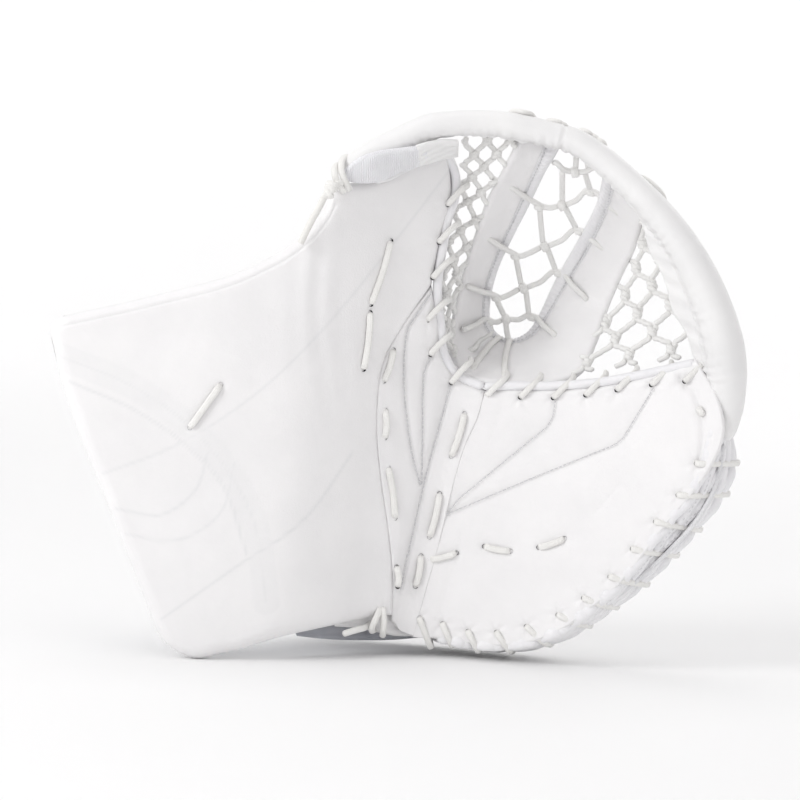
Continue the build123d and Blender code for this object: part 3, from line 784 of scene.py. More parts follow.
THUMB_EDGE_HOLES = [(30.5, 288), (25, 264), (21, 241.5), (17.8, 214.5), (19.5, 192.3), (33, 173.5)]
PALM_TOP_HOLES = [(55.6, 165.5), (77, 164.6), (98, 164.6), (118.5, 166.8), (138, 170.6), (159.5, 174.6),
                  (180, 177.5)]
BOARD_RUNS = [((-5.7, 265.9), (-18.3, 226)), ((-18.8, 221), (-23, 184.8)), ((-4.2, 196.3), (-10.2, 176.5)),
              ((-9.5, 158), (-9.5, 140)), ((-7.5, 120.6), (-3.2, 87.7)), ((-2.2, 56), (-1.5, 43))]
CUFF_RUNS = [((-112.1, 177.9), (-131.5, 150.9))]
BREAK_RUNS = [((41.5, 153.8), (33, 126.2)), ((25.5, 102.2), (19, 74)), ((13.5, 62), (10, 42))]
PALM_RUNS = [((19.5, 59.5), (36.4, 64)), ((54.2, 68.5), (71, 65.9)), ((88.8, 68.8), (105.2, 75.2))]


def lace_pull(runs):
    def dents(x, z, edge):
        pull = np.zeros_like(x)
        for a, b in runs:
            pull += 0.8 * np.exp(-(line_distance(x, z, np.array([a, b], float)) / 3.4) ** 2)
        return -pull * smoothstep(edge / 5)
    return dents


def hole_dents(holes, deep=1.0):
    """Dimples round punched holes, with five short creases each."""
    wide = 3.2
    def dents(x, z, edge):
        out = np.zeros_like(x)
        for hx, hz in holes:
            away = np.hypot(x - hx, z - hz)
            turn = np.arctan2(z - hz, x - hx)
            out -= deep * np.exp(-(away / wide) ** 2)
            out += 0.25 * np.exp(-((away - 5) / 4.5) ** 2) * np.cos(5 * turn + hx)
        return out * smoothstep(edge / 3)
    return dents


def add_shapes(*shapes):
    return lambda x, z, edge: sum(shape(x, z, edge) for shape in shapes)


def make_board():
    sides = ([CUFF_BOTTOM, CUFF_HEEL], [BOARD_RIGHT, THUMB_EDGE], [CUFF_TOP, CUFF_RISE, THUMB_TOP],
             [CUFF_LEFT])
    shape = add_shapes(board_shape, hole_dents(THUMB_EDGE_HOLES[:5], 0.7))
    board = padded_panel("board_leather", sides, (190, 190), thumb_face, 13.5, board_radius, white_leather,
                         "thumb_side", swell=1.6, swell_reach=30, ripple=0.45,
                         ripple_scale=38, shape=shape, marks=board_marks)
    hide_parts("cuff_thumb_shell", "cuff_thumb_core", "cuff_edge_binding")


def make_palm():
    left = [(-6.6, 20), (-5.7, 46), (-8.8, 82), (-13.8, 118), (-15.8, 150), (-10.8, 190), (2.2, 213.5),
            (20, 236.5)]
    under = [(x + 1.1, z) for x, z in PALM_SPLIT]
    sides = ([[(-6.6, 20), (0, 13), under[0]]], [under],
             [[(20, 236.5), (25, 212), (27, 192), (37, 177), under[-1]]], [left])
    seams = [(curve(SEAM_CREASE, 50), 1.3, 1.3), (curve(SEAM_MIDDLE, 40), 1.2, 1.3),
             (curve(SEAM_STRIP, 60), 1.3, 1.4)]
    shape = add_shapes(lace_pull(BREAK_RUNS), hole_dents(THUMB_EDGE_HOLES[3:] + PALM_TOP_HOLES[:1]))
    split = curve(PALM_SPLIT, 60)
    joint = lambda x, z: smoothstep((168 - z) / 6) * smoothstep((14 - line_distance(x, z, split)) / 6)
    thin_joint = lambda x, z: 2.6 - 1.9 * joint(x, z)
    inner = padded_panel("palm_leather_thumb", sides, (70, 170), palm_face, 11.5, thin_joint, white_leather,
                         flush=joint, seams=seams, swell=1.5, swell_reach=7,
                         ripple=0.35, ripple_scale=14, shape=shape, seed=2.0)
    over_a(inner)
    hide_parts("thumb_palm_panel", "thumb_palm_liner", "break_strip_skin", "break_strip_liner")

    bottom = [(8.3, 8.6), (25, 7), (43, 4.5), (61.5, 3.5), (83, 6.5), (104, 16), (122, 30)]
    right = [(122, 30), (139, 45.5), (153.5, 64), (167.5, 83.5), (183, 103), (197, 124), (205, 147),
             (202, 166), (188, 192)]
    top = [(54.5, 168.5), (66, 169.5), (98, 170), (128, 173), (160, 181), (188, 192)]
    hood = curve([(178, 179), (186, 171), (190.5, 158), (191.5, 140), (189, 126)], 40)
    seams = [(bent(SEAM_LONG_V, 60), 0.25, 0.7), (bent(SEAM_FAR_V, 60), 0.25, 0.7),
             (curve(SEAM_SHORT, 10), 0.2, 0.9), (hood, 1.5, 2.6)]
    shape = add_shapes(lace_pull(PALM_RUNS),
                       hole_dents(PALM_TOP_HOLES[1:] + [hole for hole, _ in PERIMETER_TURNS]))
    outer = padded_panel("palm_leather_fingers", ([bottom], [right], [top], [PALM_SPLIT]), (190, 150),
                         palm_face, 11.5, thin_joint, white_leather, flush=joint,
                         seams=seams, swell=1.5, swell_reach=14, ripple=0.5, ripple_scale=26, shape=shape,
                         seed=3.0)
    over_b(outer)
    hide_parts("palm_skin", "palm_core")


def make_stitching():
    """Rows of thread in the seams, on the board, the palm and the finger palm."""
    beside = [(x - 1.6, z) for x, z in PALM_SPLIT[2:]]
    rows = {
        "stitches_crease": ((SEAM_CREASE, SEAM_MIDDLE, SEAM_STRIP, beside), palm_face, 0.25, over_a),
        "stitches_fingers": ((SEAM_LONG_V, SEAM_FAR_V), palm_face, 1.22, over_b)}
    for name, (lines, face, out, bend) in rows.items():
        shape = curve if name == "stitches_crease" else bent
        paths = stitch_row([on_face(face, shape(line, 60), out) for line in lines])
        bend(threads(name, paths, None, 0.34, 0.3))


# ---- edge roll, its laces, and the binding of the pocket's mouth ---------------------------------

PALM_EDGE = [(25, 9), (43, 5.5), (61.5, 4.5), (83, 7.5), (104, 17), (122, 31), (139, 46.5), (153.5, 65),
             (167.5, 84.5), (182, 102), (192.5, 123), (199, 150)]
OUTER_EDGE = [(12, 10.5), (26, 6.5), (51, 1.5), (76.5, 1.5), (107, 10.8), (131.5, 27.5), (153.5, 45.5),
              (170, 62.5), (187, 82.5), (198, 96.5), (207, 112), (210, 128), (208, 143)]
PERIMETER_TURNS = [((187, 126.3), (25, -1.5)), ((175.7, 106), (26, -1)), ((161.8, 88.6), (25, -6)),
                   ((147.5, 70.7), (26, -5.6)), ((133.6, 52.4), (25, -7.7)), ((117, 38), (25, -10)),
                   ((101, 26.4), (23, -11)), ((81, 18), (15, -14)), ((62, 13.5), (10, -15)),
                   ((43.7, 13.5), (8, -16)), ((27.4, 18), (8, -19)), ((12.6, 21.5), (7, -19))]
ROLL_LAYERS = 5
ROLL_FRONT = 4.2  # millimetres behind the palm's face
ROLL_DEEP = 23.0  # at most; the guard's face limits it


def roll_deep(inner, outer):
    """How far back the outermost layer lies, so that it stays in front of the guard."""
    guard, palm = guard_face(outer[..., 0], outer[..., 1]), palm_face(inner[..., 0], inner[..., 1])
    room = guard - 6.5 - palm - ROLL_FRONT
    return np.clip(room, 8.0, ROLL_DEEP)


def along_line(line, place, way):
    """How far along a direction a line is met, and at which share of the line."""
    away = line - place
    ahead = away @ way
    aside = np.abs(away @ np.array([-way[1], way[0]])) + 100 * (ahead < 0)
    nearest = aside.argmin()
    return ahead[nearest], nearest / (len(line) - 1)


def turn_places():
    """For each lace: its hole, its direction, the way to the palm's edge and to the outermost layer."""
    outer, inner = curve(OUTER_EDGE, 300), curve(PALM_EDGE, 300)
    turns = []
    for (x, z), way in PERIMETER_TURNS:
        place, way = np.array([x, z], float), np.array(way, float) / math.hypot(*way)
        near, start = along_line(inner, place, way)
        far, end = along_line(outer, place, way)
        turns.append((place, way, max(near, 3.0), far, start, end))
    return turns


def make_edge_roll():
    """The layers between palm and guard, one behind the other, drawn together where a lace goes round."""
    t = np.linspace(0, 1, 320)
    inner, outer = curve(PALM_EDGE, 320), curve(OUTER_EDGE, 320)
    face = palm_face(inner[:, 0], inner[:, 1])
    turns = sorted(turn_places(), key=lambda turn: turn[4])
    starts, ends = (np.array([turn[k] for turn in turns]) for k in (4, 5))
    deep = roll_deep(inner, outer)
    span = np.hypot(np.linalg.norm(outer - inner, axis=1), deep)
    paths, widths, depths = [], [], []
    for number in range(ROLL_LAYERS):
        share = number / (ROLL_LAYERS - 1)
        lace = np.interp(t, starts * (1 - share) + ends * share, np.arange(len(turns)), left=-0.5,
                         right=len(turns) - 0.5)
        tight = (0.5 + 0.5 * np.cos(2 * np.pi * lace)) ** 3
        twist = 0.035 * np.sin(2 * np.pi * lace) * (1 if number % 2 else -1)
        at = 0.5 + (share - 0.5) * (1.06 - 0.16 * tight) + twist
        place = inner * (1 - at)[:, None] + outer * at[:, None]
        wobble = 0.35 * np.sin(t * 101 + number * 2.1) + 0.25 * np.sin(t * 223 + number)
        y = face + ROLL_FRONT + at * deep + 1.1 * tight + wobble
        paths.append(np.stack([place[:, 0], y, place[:, 1]], axis=1))
        full = span / (2 * (ROLL_LAYERS - 1)) * 1.34
        widths.append(full * (1 - 0.14 * tight))
        depths.append(full * (0.92 - 0.2 * tight))
    roll = tubes("edge_roll", paths, widths, depths, binding_leather, "finger_side", ring=20)
    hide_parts("perimeter_roll")
    lines = [path + np.stack([0.3 * width, -width * 0.88, -0.3 * width], axis=1)
             for path, width in zip(paths[1:3], widths[1:3])]
    threads("edge_roll_stitches", stitch_row(lines, 3.4, 2.2), "finger_side", 0.26, 0.22)


def make_perimeter_laces():
    paths = []
    for place, way, near, far, _, _ in turn_places():
        face = float(palm_face(*place))
        behind = float(guard_face(*(place + way * far * 0.75))) + GUARD + 1.6
        deep = float(roll_deep(place + way * near, place + way * far))
        length = math.hypot(far - near, deep)
        lift = length / (2 * (ROLL_LAYERS - 1)) + 2.4
        out, front = lift * deep / length, -lift * (far - near) / length
        steps = [(0.0, 3.2), (0.7, -1.2), (near * 0.45, -2.0)]
        for share in (0.02, 0.3, 0.55, 0.8, 0.97):
            steps.append((near + (far - near) * share + out, ROLL_FRONT + deep * share + front))
        round_out = lift + 0.4
        steps += [(far + round_out, ROLL_FRONT + deep + 1.5),
                  (far + round_out * 0.75, ROLL_FRONT + deep + 5.5)]
        points = [(*(place + way * s), face + y) for s, y in steps]
        for share, y in ((0.92, behind - 4), (0.6, behind + 0.5), (0.2, behind + 1.0), (0.05, behind - 3)):
            points.append((*(place + way * far * share), y))
        paths.append(curve([(px, py, pz) for px, pz, py in points], 110))
    paths.append(face_run(palm_face, (188.6, 161), (191.4, 156.6), 1.6))
    laces("edge_laces", paths, "finger_side", ["perimeter_lace"])


def make_holes(name, places, face, finish, out):
    """Punched holes, each a small near-black cup of painted shade. finish joins them to their body."""
    verts, faces = [], []
    ring, radius = 14, 1.5
    for x, z in places:
        y = float(face(np.array(x), np.array(z))) - out
        start = len(verts)
        for reach, deep in ((1.0, -0.12), (0.92, 0.25), (0.7, 1.0), (0.0, 1.2)):
            for k in range(ring):
                a = 2 * math.pi * k / ring
                verts.append((x + radius * reach * math.cos(a), y + deep, z + radius * reach * math.sin(a)))
        faces += grid_faces(4, ring, start, wrap=True)
    return finish(add_mesh(name, verts, faces, painted_hole_shade))


def make_mouth_binding():
    """The soft rolled binding round the pocket's mouth: down the thumb's edge and along the palm's top."""
    thumb = [(30, 321), (35.5, 306), (35, 293), (30, 277), (27.5, 262), (25, 247), (24, 228), (26, 212),
             (28, 193), (37, 178.5), (54, 171)]
    palm = [(54, 171), (66, 171.5), (98, 172), (128, 175), (160, 182), (187, 189)]
    for name, line, bend in (("mouth_binding_thumb", thumb, over_a), ("mouth_binding_palm", palm, over_b)):
        path = on_face(palm_face, curve(line, 110), -3.0)
        bend(tubes(name, [path], 3.0, 3.6, binding_leather, ring=16))


def face_run(face, a, b, up, bow=0.0):
    """A lace run on a face: out of one hole, over the leather, into the next."""
    a, b = np.array(a, float), np.array(b, float)
    t = np.linspace(0, 1, 26)
    aside = np.array([-(b - a)[1], (b - a)[0]]) / max(np.linalg.norm(b - a), 1e-6)
    place = a + (b - a) * t[:, None] + aside * (bow * np.sin(np.pi * t))[:, None]
    from_hole = np.minimum(t, 1 - t) * np.linalg.norm(b - a)
    sunk = 2.2
    return on_face(face, place, up * dome(from_hole, 4.0) - sunk * (1 - smoothstep(from_hole / sunk)))


def make_face_laces():
    board = [face_run(thumb_face, a, b, 2.6, bow=1.0) for a, b in BOARD_RUNS]
    laces("board_laces", board, "thumb_side", ["board_lace"], flat=True)
    cuff = [face_run(thumb_face, a, b, 2.8) for a, b in CUFF_RUNS]
    laces("cuff_lace_run", cuff, "thumb_side", ["cuff_lace"], flat=True)
    strip = [face_run(palm_face, a, b, 2.3, bow=0.8) for a, b in BREAK_RUNS]
    laces("break_laces", strip, "pocket", ["break_lace"], flat=True)
    palm = [face_run(palm_face, a, b, 2.3, bow=-0.6) for a, b in PALM_RUNS]
    laces("palm_laces", palm, None, ["palm_lace"], over_b, flat=True)


def make_mouth_laces():
    """Laces from the holes over the binding into the nets."""
    thumb = []
    for n, (x, z) in enumerate(THUMB_EDGE_HOLES):
        y = float(palm_face(np.array(x), np.array(z)))
        rise = 12 if n < 5 else 13
        thumb.append(curve([(x, y + 2.5, z), (x + 1.0, y - 1.8, z + 1.6), (x + 5.0, y - 1.6, z + rise * 0.5),
                            (x + 9.5, y + 0.5, z + rise * 0.85), (x + 12.5, y + 6, z + rise),
                            (x + 12.5, y + 13, z + rise + 2)], 34))
    laces("thumb_edge_laces", thumb, None, ["thumb_edge_lace"], over_a, wide=2.0)
    palm = []
    for x, z in PALM_TOP_HOLES:
        y = float(palm_face(np.array(x), np.array(z)))
        palm.append(curve([(x, y + 2.5, z), (x + 1.2, y - 1.7, z + 1.2), (x + 5.5, y - 2.2, z + 5.5),
                           (x + 10, y - 0.5, z + 9.5), (x + 13, y + 5, z + 12), (x + 14, y + 12, z + 14)],
                          34))
    laces("palm_edge_laces", palm, None, ["palm_edge_lace"], over_b, wide=2.0)


# ---- surfaces between two edges ------------------------------------------------------------------

class Span:
    """A surface between two lines that are matched point by point, with a bulge towards the back."""

    def __init__(self, near, far, bulge=0.0):
        self.near, self.far = np.array(near, float), np.array(far, float)
        self.bulge = bulge

    def at(self, t, w):
        """Places at shares t along and w across."""
        t, w = np.broadcast_arrays(np.asarray(t, float), np.asarray(w, float))
        shape = t.shape
        a, b = self.line(self.near, t.ravel()), self.line(self.far, t.ravel())
        share = w.ravel()[:, None]
        place = a * (1 - share) + b * share
        place[:, 1] += self.bulge * 4 * w.ravel() * (1 - w.ravel())
        return place.reshape(shape + (3,))

    @staticmethod
    def line(points, t):
        count = len(points) - 1
        i = np.clip((t * count).astype(int), 0, count - 1)
        return cubic(points, np.gradient(points, axis=0), i, (t * count - i)[:, None])

    def normal(self, t, w):
        """The direction out of the surface, towards the front."""
        step = 0.004
        du = self.at(np.clip(t + step, 0, 1), w) - self.at(np.clip(t - step, 0, 1), w)
        dv = self.at(t, np.clip(w + step, 0, 1)) - self.at(t, np.clip(w - step, 0, 1))
        n = np.cross(du, dv)
        n /= np.maximum(np.linalg.norm(n, axis=-1, keepdims=True), 1e-9)
        return np.where(n[..., 1:2] > 0, -n, n)

    def width(self, t):
        return np.linalg.norm(self.at(t, 1.0 + 0 * t) - self.at(t, 0 * t), axis=-1)


def span_pad(name, span, rows, columns, thickness, material, body, low=0.0, high=1.0, swell=0.6, ripple=0.25,
             seed=4.0, relief=None):
    """A closed pad on a span. Across it runs from low to high, shares or functions of the share along."""
    t = np.linspace(0, 1, rows)[:, None]
    edge_low = low(t) if callable(low) else low + 0 * t
    edge_high = high(t) if callable(high) else high + 0 * t
    share = crowd(columns, 0.75)[None, :]
    w = edge_low + (edge_high - edge_low) * share
    t = np.broadcast_to(t, w.shape)
    place, normal = span.at(t, w), span.normal(t, w)
    across = np.broadcast_to(share, w.shape) * np.linalg.norm(place[:, -1] - place[:, 0], axis=-1)[:, None]
    total = across[:, -1:]
    along = np.broadcast_to(run_along(place[:, columns // 2])[:, None], w.shape)
    edge = np.minimum(np.minimum(across, total - across), np.minimum(along, along[-1:] - along))
    half = thickness / 2 * dome(edge, thickness * 0.55)
    wave = ripple * field(along, across, 11.0, seed) * smoothstep(edge / 4)
    out = half + swell * (1 - np.exp(-edge / 5.0)) + wave
    if relief is not None:
        out = out + relief(along, across, edge)
    front, back = place + normal * out[..., None], place - normal * half[..., None]
    extra = {"edge_wear_and_pucker_shade": np.tile(np.exp(-edge.ravel() / 2.0), 2)}
    uv = np.stack([across, along], axis=-1)
    return two_sided(name, front, back, material, body, uv=uv, extra=extra)


# ---- the web -------------------------------------------------------------------------------------

# The web is one horseshoe of leather: its opening's edge and its outer edge, matched point by point.
WEB_OPENING = [(104.5, 12, 333), (99, 15, 320), (93, 26, 309), (83, 48, 286), (74, 62, 267), (66, 74, 249),
               (60.5, 82, 230), (59, 88, 213), (62, 90, 203), (69, 90.5, 197), (77.5, 90.5, 197),
               (85.5, 89, 203), (92, 86, 215), (101.5, 78, 237), (115.5, 60, 264), (125, 40, 285),
               (128, 26, 298), (130, 14, 312)]
WEB_OUTSIDE = [(79, 10, 339), (72.5, 10, 325), (65.5, 16, 310), (56, 30, 290), (49, 44, 268), (43.5, 54, 250),
               (39.5, 62, 234), (35, 63, 214), (31.5, 54, 195), (43, 34, 176), (82, 28, 171.5),
               (114, 32, 178), (127, 49, 198), (135, 61, 219), (144, 56, 241), (151, 47, 257),
               (155.5, 32, 276), (157, 16, 292)]
WEB_BINDING = 10.5


def make_web():
    web = Span(WEB_OPENING, WEB_OUTSIDE, 5.0)
    binding_share = lambda t: WEB_BINDING / web.width(t)

    def bar_folds(along, across, edge):
        pull = 0.35 * np.sin(along * 0.55 + 0.8 * np.sin(across * 0.4)) * np.exp(-((across - 2) / 4.0) ** 2)
        return pull * smoothstep(edge / 3)

    panel = span_pad("web_panel", web, 230, 44, 5.0, white_leather, "pocket",
                     low=lambda t: binding_share(t) - 2.5 / web.width(t), swell=0.9, ripple=0.45,
                     relief=bar_folds)
    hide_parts("web_bar_thumb", "web_bar_finger", "pocket_base")

    def puckers(along, across, edge):
        seam = np.exp(-((across - (WEB_BINDING - 3.0)) / 0.8) ** 2)
        return 0.28 * np.sin(along * 2.1) * smoothstep(edge / 2) - 0.7 * seam

    binding = span_pad("web_binding", web, 420, 22, 6.6, binding_leather, "pocket", high=binding_share,
                       swell=0.25, ripple=0.2, relief=puckers)
    t = np.linspace(0.01, 0.99, 500)
    w = (WEB_BINDING - 3.0) / web.width(t)
    line = web.at(t, w) + web.normal(t, w) * 3.1
    threads("web_stitches", stitch_row([line], 2.7, 1.9, 0.32), "pocket")
    runs = []
    for t0, t1, sway in ((0.512, 0.530, 0.4), (0.560, 0.566, -0.4)):
        s = np.linspace(0, 1, 44)
        tt = t0 + (t1 - t0) * s
        w = 0.06 + 0.84 * s
        lift = 4.6 * np.clip(dome(np.minimum(s, 1 - s) * 46, 5.0), 0, 1) + 0.9 * np.sin(np.pi * s)
        aside = np.array([1.0, 0, 0]) * (sway * np.sin(np.pi * s))[:, None]
        runs.append(web.at(tt, w) + web.normal(tt, w) * (lift[:, None] - 0.6) + aside)
    laces("web_base_laces", runs, "pocket", ["bar_lace_thumb", "bar_lace_finger"], wide=2.0, thick=1.6)


# ---- nets ----------------------------------------------------------------------------------------

def knot(middle, axis, turns=1.6, radius=2.2, rise=2.4):
    """A cord wound round a joint."""
    axis = np.array(axis, float)
    axis /= np.linalg.norm(axis)
    side = np.cross(axis, (0, 1, 0.1))
    side /= np.linalg.norm(side)
    other = np.cross(axis, side)
    a = np.linspace(0, 2 * np.pi * turns, int(26 * turns))
    return (np.array(middle, float) + side * (radius * np.cos(a))[:, None]
            + other * (radius * np.sin(a))[:, None] + axis * (rise * (a / a[-1] - 0.5))[:, None])


def bowed(a, b):
    """A cord between two places, bowed a little towards the back."""
    a, b = np.array(a, float), np.array(b, float)
    t = np.linspace(0, 1, 24)
    path = a + (b - a) * t[:, None]
    path[:, 1] += 0.8 * np.sin(np.pi * t)
    return path


def twisted_net(span, spacing, pitch, radius, seed):
    """Strands that run along a span, counted from its near edge, and pair up with one neighbour and then the
    other. They wind once round each other where they meet. A strand ends where it reaches the far edge."""
    chance = random.Random(seed)
    share = np.linspace(0.02, 0.98, 420)
    width = span.width(share)
    middle = span.at(share, 0.5 + 0 * share)
    run = run_along(middle)
    paths = []
    for k in range(int(width.max() / spacing) + 1):
        slow = [chance.uniform(-1, 1) for _ in range(6)]
        phase = 2 * np.pi * run / pitch + k * np.pi + 0.2 * np.sin(run * 0.05)
        wave = np.clip(1.7 * np.sin(phase), -1, 1)
        wave = np.sign(wave) * smoothstep(np.abs(wave))
        turn = 2 * np.pi * smoothstep((np.mod(phase, np.pi) - 0.75) / (np.pi - 1.5))
        wound = np.sign(wave) * np.abs(wave) * radius * 1.1
        across = (k + 0.5) * spacing + wave * spacing / 2 - wound * np.cos(turn)
        across = across + 0.7 * slow[2] * np.sin(run * 0.11 + slow[3] * 3)
        w = np.clip(across / width, 0, 1)
        path = span.at(share, w) + span.normal(share, w) * (wound * np.sin(turn))[:, None]
        path[:, 1] += 1.2 * slow[4] * np.sin(run * 0.07 + slow[5] * 3)
        inside = np.nonzero(across < width + 0.5)[0]
        for piece in np.split(inside, np.nonzero(np.diff(inside) > 1)[0] + 1):
            if len(piece) > 24:
                paths.append(path[piece[0]:piece[-1] + 1:2])
    return paths


NET_THUMB = ([(36, 40, 186), (29, 43, 200), (26, 42, 225), (28.5, 40, 250), (33, 38, 276), (38, 33, 300),
              (40, 22, 318), (41, 12, 334)],
             [(37, 50, 188), (34, 60, 205), (39, 62, 232), (44, 54, 251), (50, 44, 269), (58, 28, 293),
              (70, 10, 318), (79, 4, 335)])
NET_FINGER = ([(185, 4, 190), (186.5, 3, 205), (183.5, 1, 222), (178.5, 0, 240), (172, 2, 256),
               (165, 5, 270), (158, 9, 283)],
              [(106, 30, 177), (116, 38, 189), (126, 52, 203), (135, 60, 220), (144, 56, 241),
               (151, 46, 257), (154.5, 30, 278)])
NET_KNOTS = [(111.5, 24, 309), (104.5, 44, 287), (94, 66, 259.5), (80.5, 82, 231.5), (69.5, 89, 210.5)]
NET_LEFT = [(88.5, 47, 286), (74, 66, 253), (62, 80, 225), (57.5, 88, 209)]
NET_RIGHT = [(122, 36, 295.5), (115.5, 58, 269.5), (103, 76, 241.5), (86, 87, 212)]
HOLES_LEFT = [(68.5, 32, 300), (54.7, 56, 266), (43.8, 66, 233), (42, 66, 205)]
HOLES_RIGHT = [(143, 42, 279), (134, 62, 256), (121.5, 72, 224.5), (101.5, 74, 200.5)]


def make_nets():
    radius = 1.85
    paths = []
    for row in range(4):
        left, middle, right = (np.array(place[row], float) for place in (NET_LEFT, NET_KNOTS[1:], NET_RIGHT))
        hole_a, hole_b = np.array(HOLES_LEFT[row], float), np.array(HOLES_RIGHT[row], float)
        over = np.array([0, -4.5, 1.0])
        paths.append(curve([hole_a + (0, 6, 1), hole_a + over * 0.8, (hole_a + left) / 2 + over,
                            left + (0.5, -1.6, 1.6), left + (3.0, 0, 0.2),
                            (left + middle) / 2 + (0, 0.8, -1.2), middle - (2.2, 0, 0.4)], 60))
        paths.append(curve([middle + (2.2, 0, 0.2), (middle + right) / 2 + (0, 0.6, -1.0),
                            right + (-1.6, -0.6, 1.2), right + (2.2, -1.6, 0.6), (right + hole_b) / 2 + over,
                            hole_b + over * 0.7, hole_b + (0.5, 6, -1)], 60))
        paths.append(knot(middle, middle - left, 1.5, 2.1))
        paths.append(knot(left + (1.0, 0, -0.2), (0.5, 0, 1), 1.1, 1.9, 1.8))
        paths.append(knot(right + (0.6, 0, -0.2), (0.4, 0, 1), 1.1, 1.9, 1.8))
        if row < 3:
            below, beside = np.array(NET_KNOTS[row + 2], float), np.array(NET_RIGHT[row + 1], float)
            paths.append(bowed(left + (1.6, 0, -2.0), below + (-1.2, 0, 2.6)))
            paths.append(bowed(middle + (2.0, 0, -1.6), beside + (-1.4, 0, 2.0)))
    top = np.array(NET_KNOTS[0], float)
    paths.append(knot(top, (1, 0, 0.1), 1.6, 2.2))
    paths.append(curve([(98, 24, 315), (100, 16, 314.5), (103.5, 20, 311), top - (2, 0, 0)], 30))
    paths.append(curve([top + (2, 0, 0), (117, 22, 309), (123, 18, 312), (127, 10, 317)], 30))
    paths.append(bowed((112.5, 10, 330), top + (0.5, 0, 2)))
    paths.append(bowed((117.5, 10, 328), (120, 21, 311)))
    paths.append(bowed((103.5, 22, 310), np.array(NET_KNOTS[1]) + (0, 0, 2.6)))
    paths.append(bowed((118, 22, 308), np.array(NET_RIGHT[0]) + (0, 0, 1.5)))
    last, bottom = np.array(NET_KNOTS[4], float), (71.5, 84, 196)
    paths.append(curve([last - (0, 0, 2), (70, 88, 204), bottom], 20))
    paths.append(curve([np.array(NET_LEFT[3]) + (1, 0, -1), (60, 87, 203), (52, 76, 197), (46, 62, 192),
                        (43, 62, 191)], 30))
    piece = tubes("net_between_bars", paths, radius, radius * 0.92, net_white, "pocket", ring=12)
    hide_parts("net_middle")

    thumb_net = twisted_net(Span(*NET_THUMB, 3.0), 7.6, 20.0, 1.7, 11)
    piece = over_a(tubes("net_by_thumb", thumb_net, 1.75, 1.6, net_white, ring=12), 27, -11)
    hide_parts("net_thumb")
    finger_net = twisted_net(Span(*NET_FINGER, 8.0), 14.5, 30.0, 1.55, 12)
    piece = over_b(tubes("net_by_fingers", finger_net, 1.8, 1.65, net_white, ring=12), 2, 44)
    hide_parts("net_finger")


# ---- the rim -------------------------------------------------------------------------------------

# The rim's middle line in X, Y and Z, with half widths across it and along Y.
RIM = [((-36, -16.5, 310.5), 4.2, 5), ((-30, -14, 315), 6.4, 8), ((-20, -9.5, 319.8), 8.2, 9.5),
       ((-8, -6, 325.5), 8.8, 10), ((6, -3.5, 332.4), 8.6, 10), ((19, -2, 338), 8.3, 10),
       ((38, 0, 340.3), 8.1, 10), ((60, 1, 339.8), 8.4, 10), ((78.5, 1.5, 336.8), 8.5, 10),
       ((94, 1.2, 333.4), 8.3, 10), ((110, 0.5, 328.8), 8.3, 10.3), ((122, -0.5, 321.6), 8.4, 10.6),
       ((134, -2, 312), 8.8, 11.5), ((152, -5, 294.8), 9.6, 13.5), ((169.5, -7.5, 275), 10.6, 15.5),
       ((184, -9, 252.5), 11.8, 17), ((195.5, -9, 228), 13, 18), ((202, -8.5, 208), 13.6, 17.5),
       ((206, -7, 187), 13.4, 15), ((207.5, -5.5, 166), 11.4, 11), ((207.5, -5, 150), 7.5, 7.5),
       ((206.5, -5, 139), 3.5, 5)]
RIM_SPLIT = 9.6 / 21


def rim_point(t):
    points = np.array([(*place, across, deep) for place, across, deep in RIM], float)
    return Span.line(points, np.asarray(t, float))


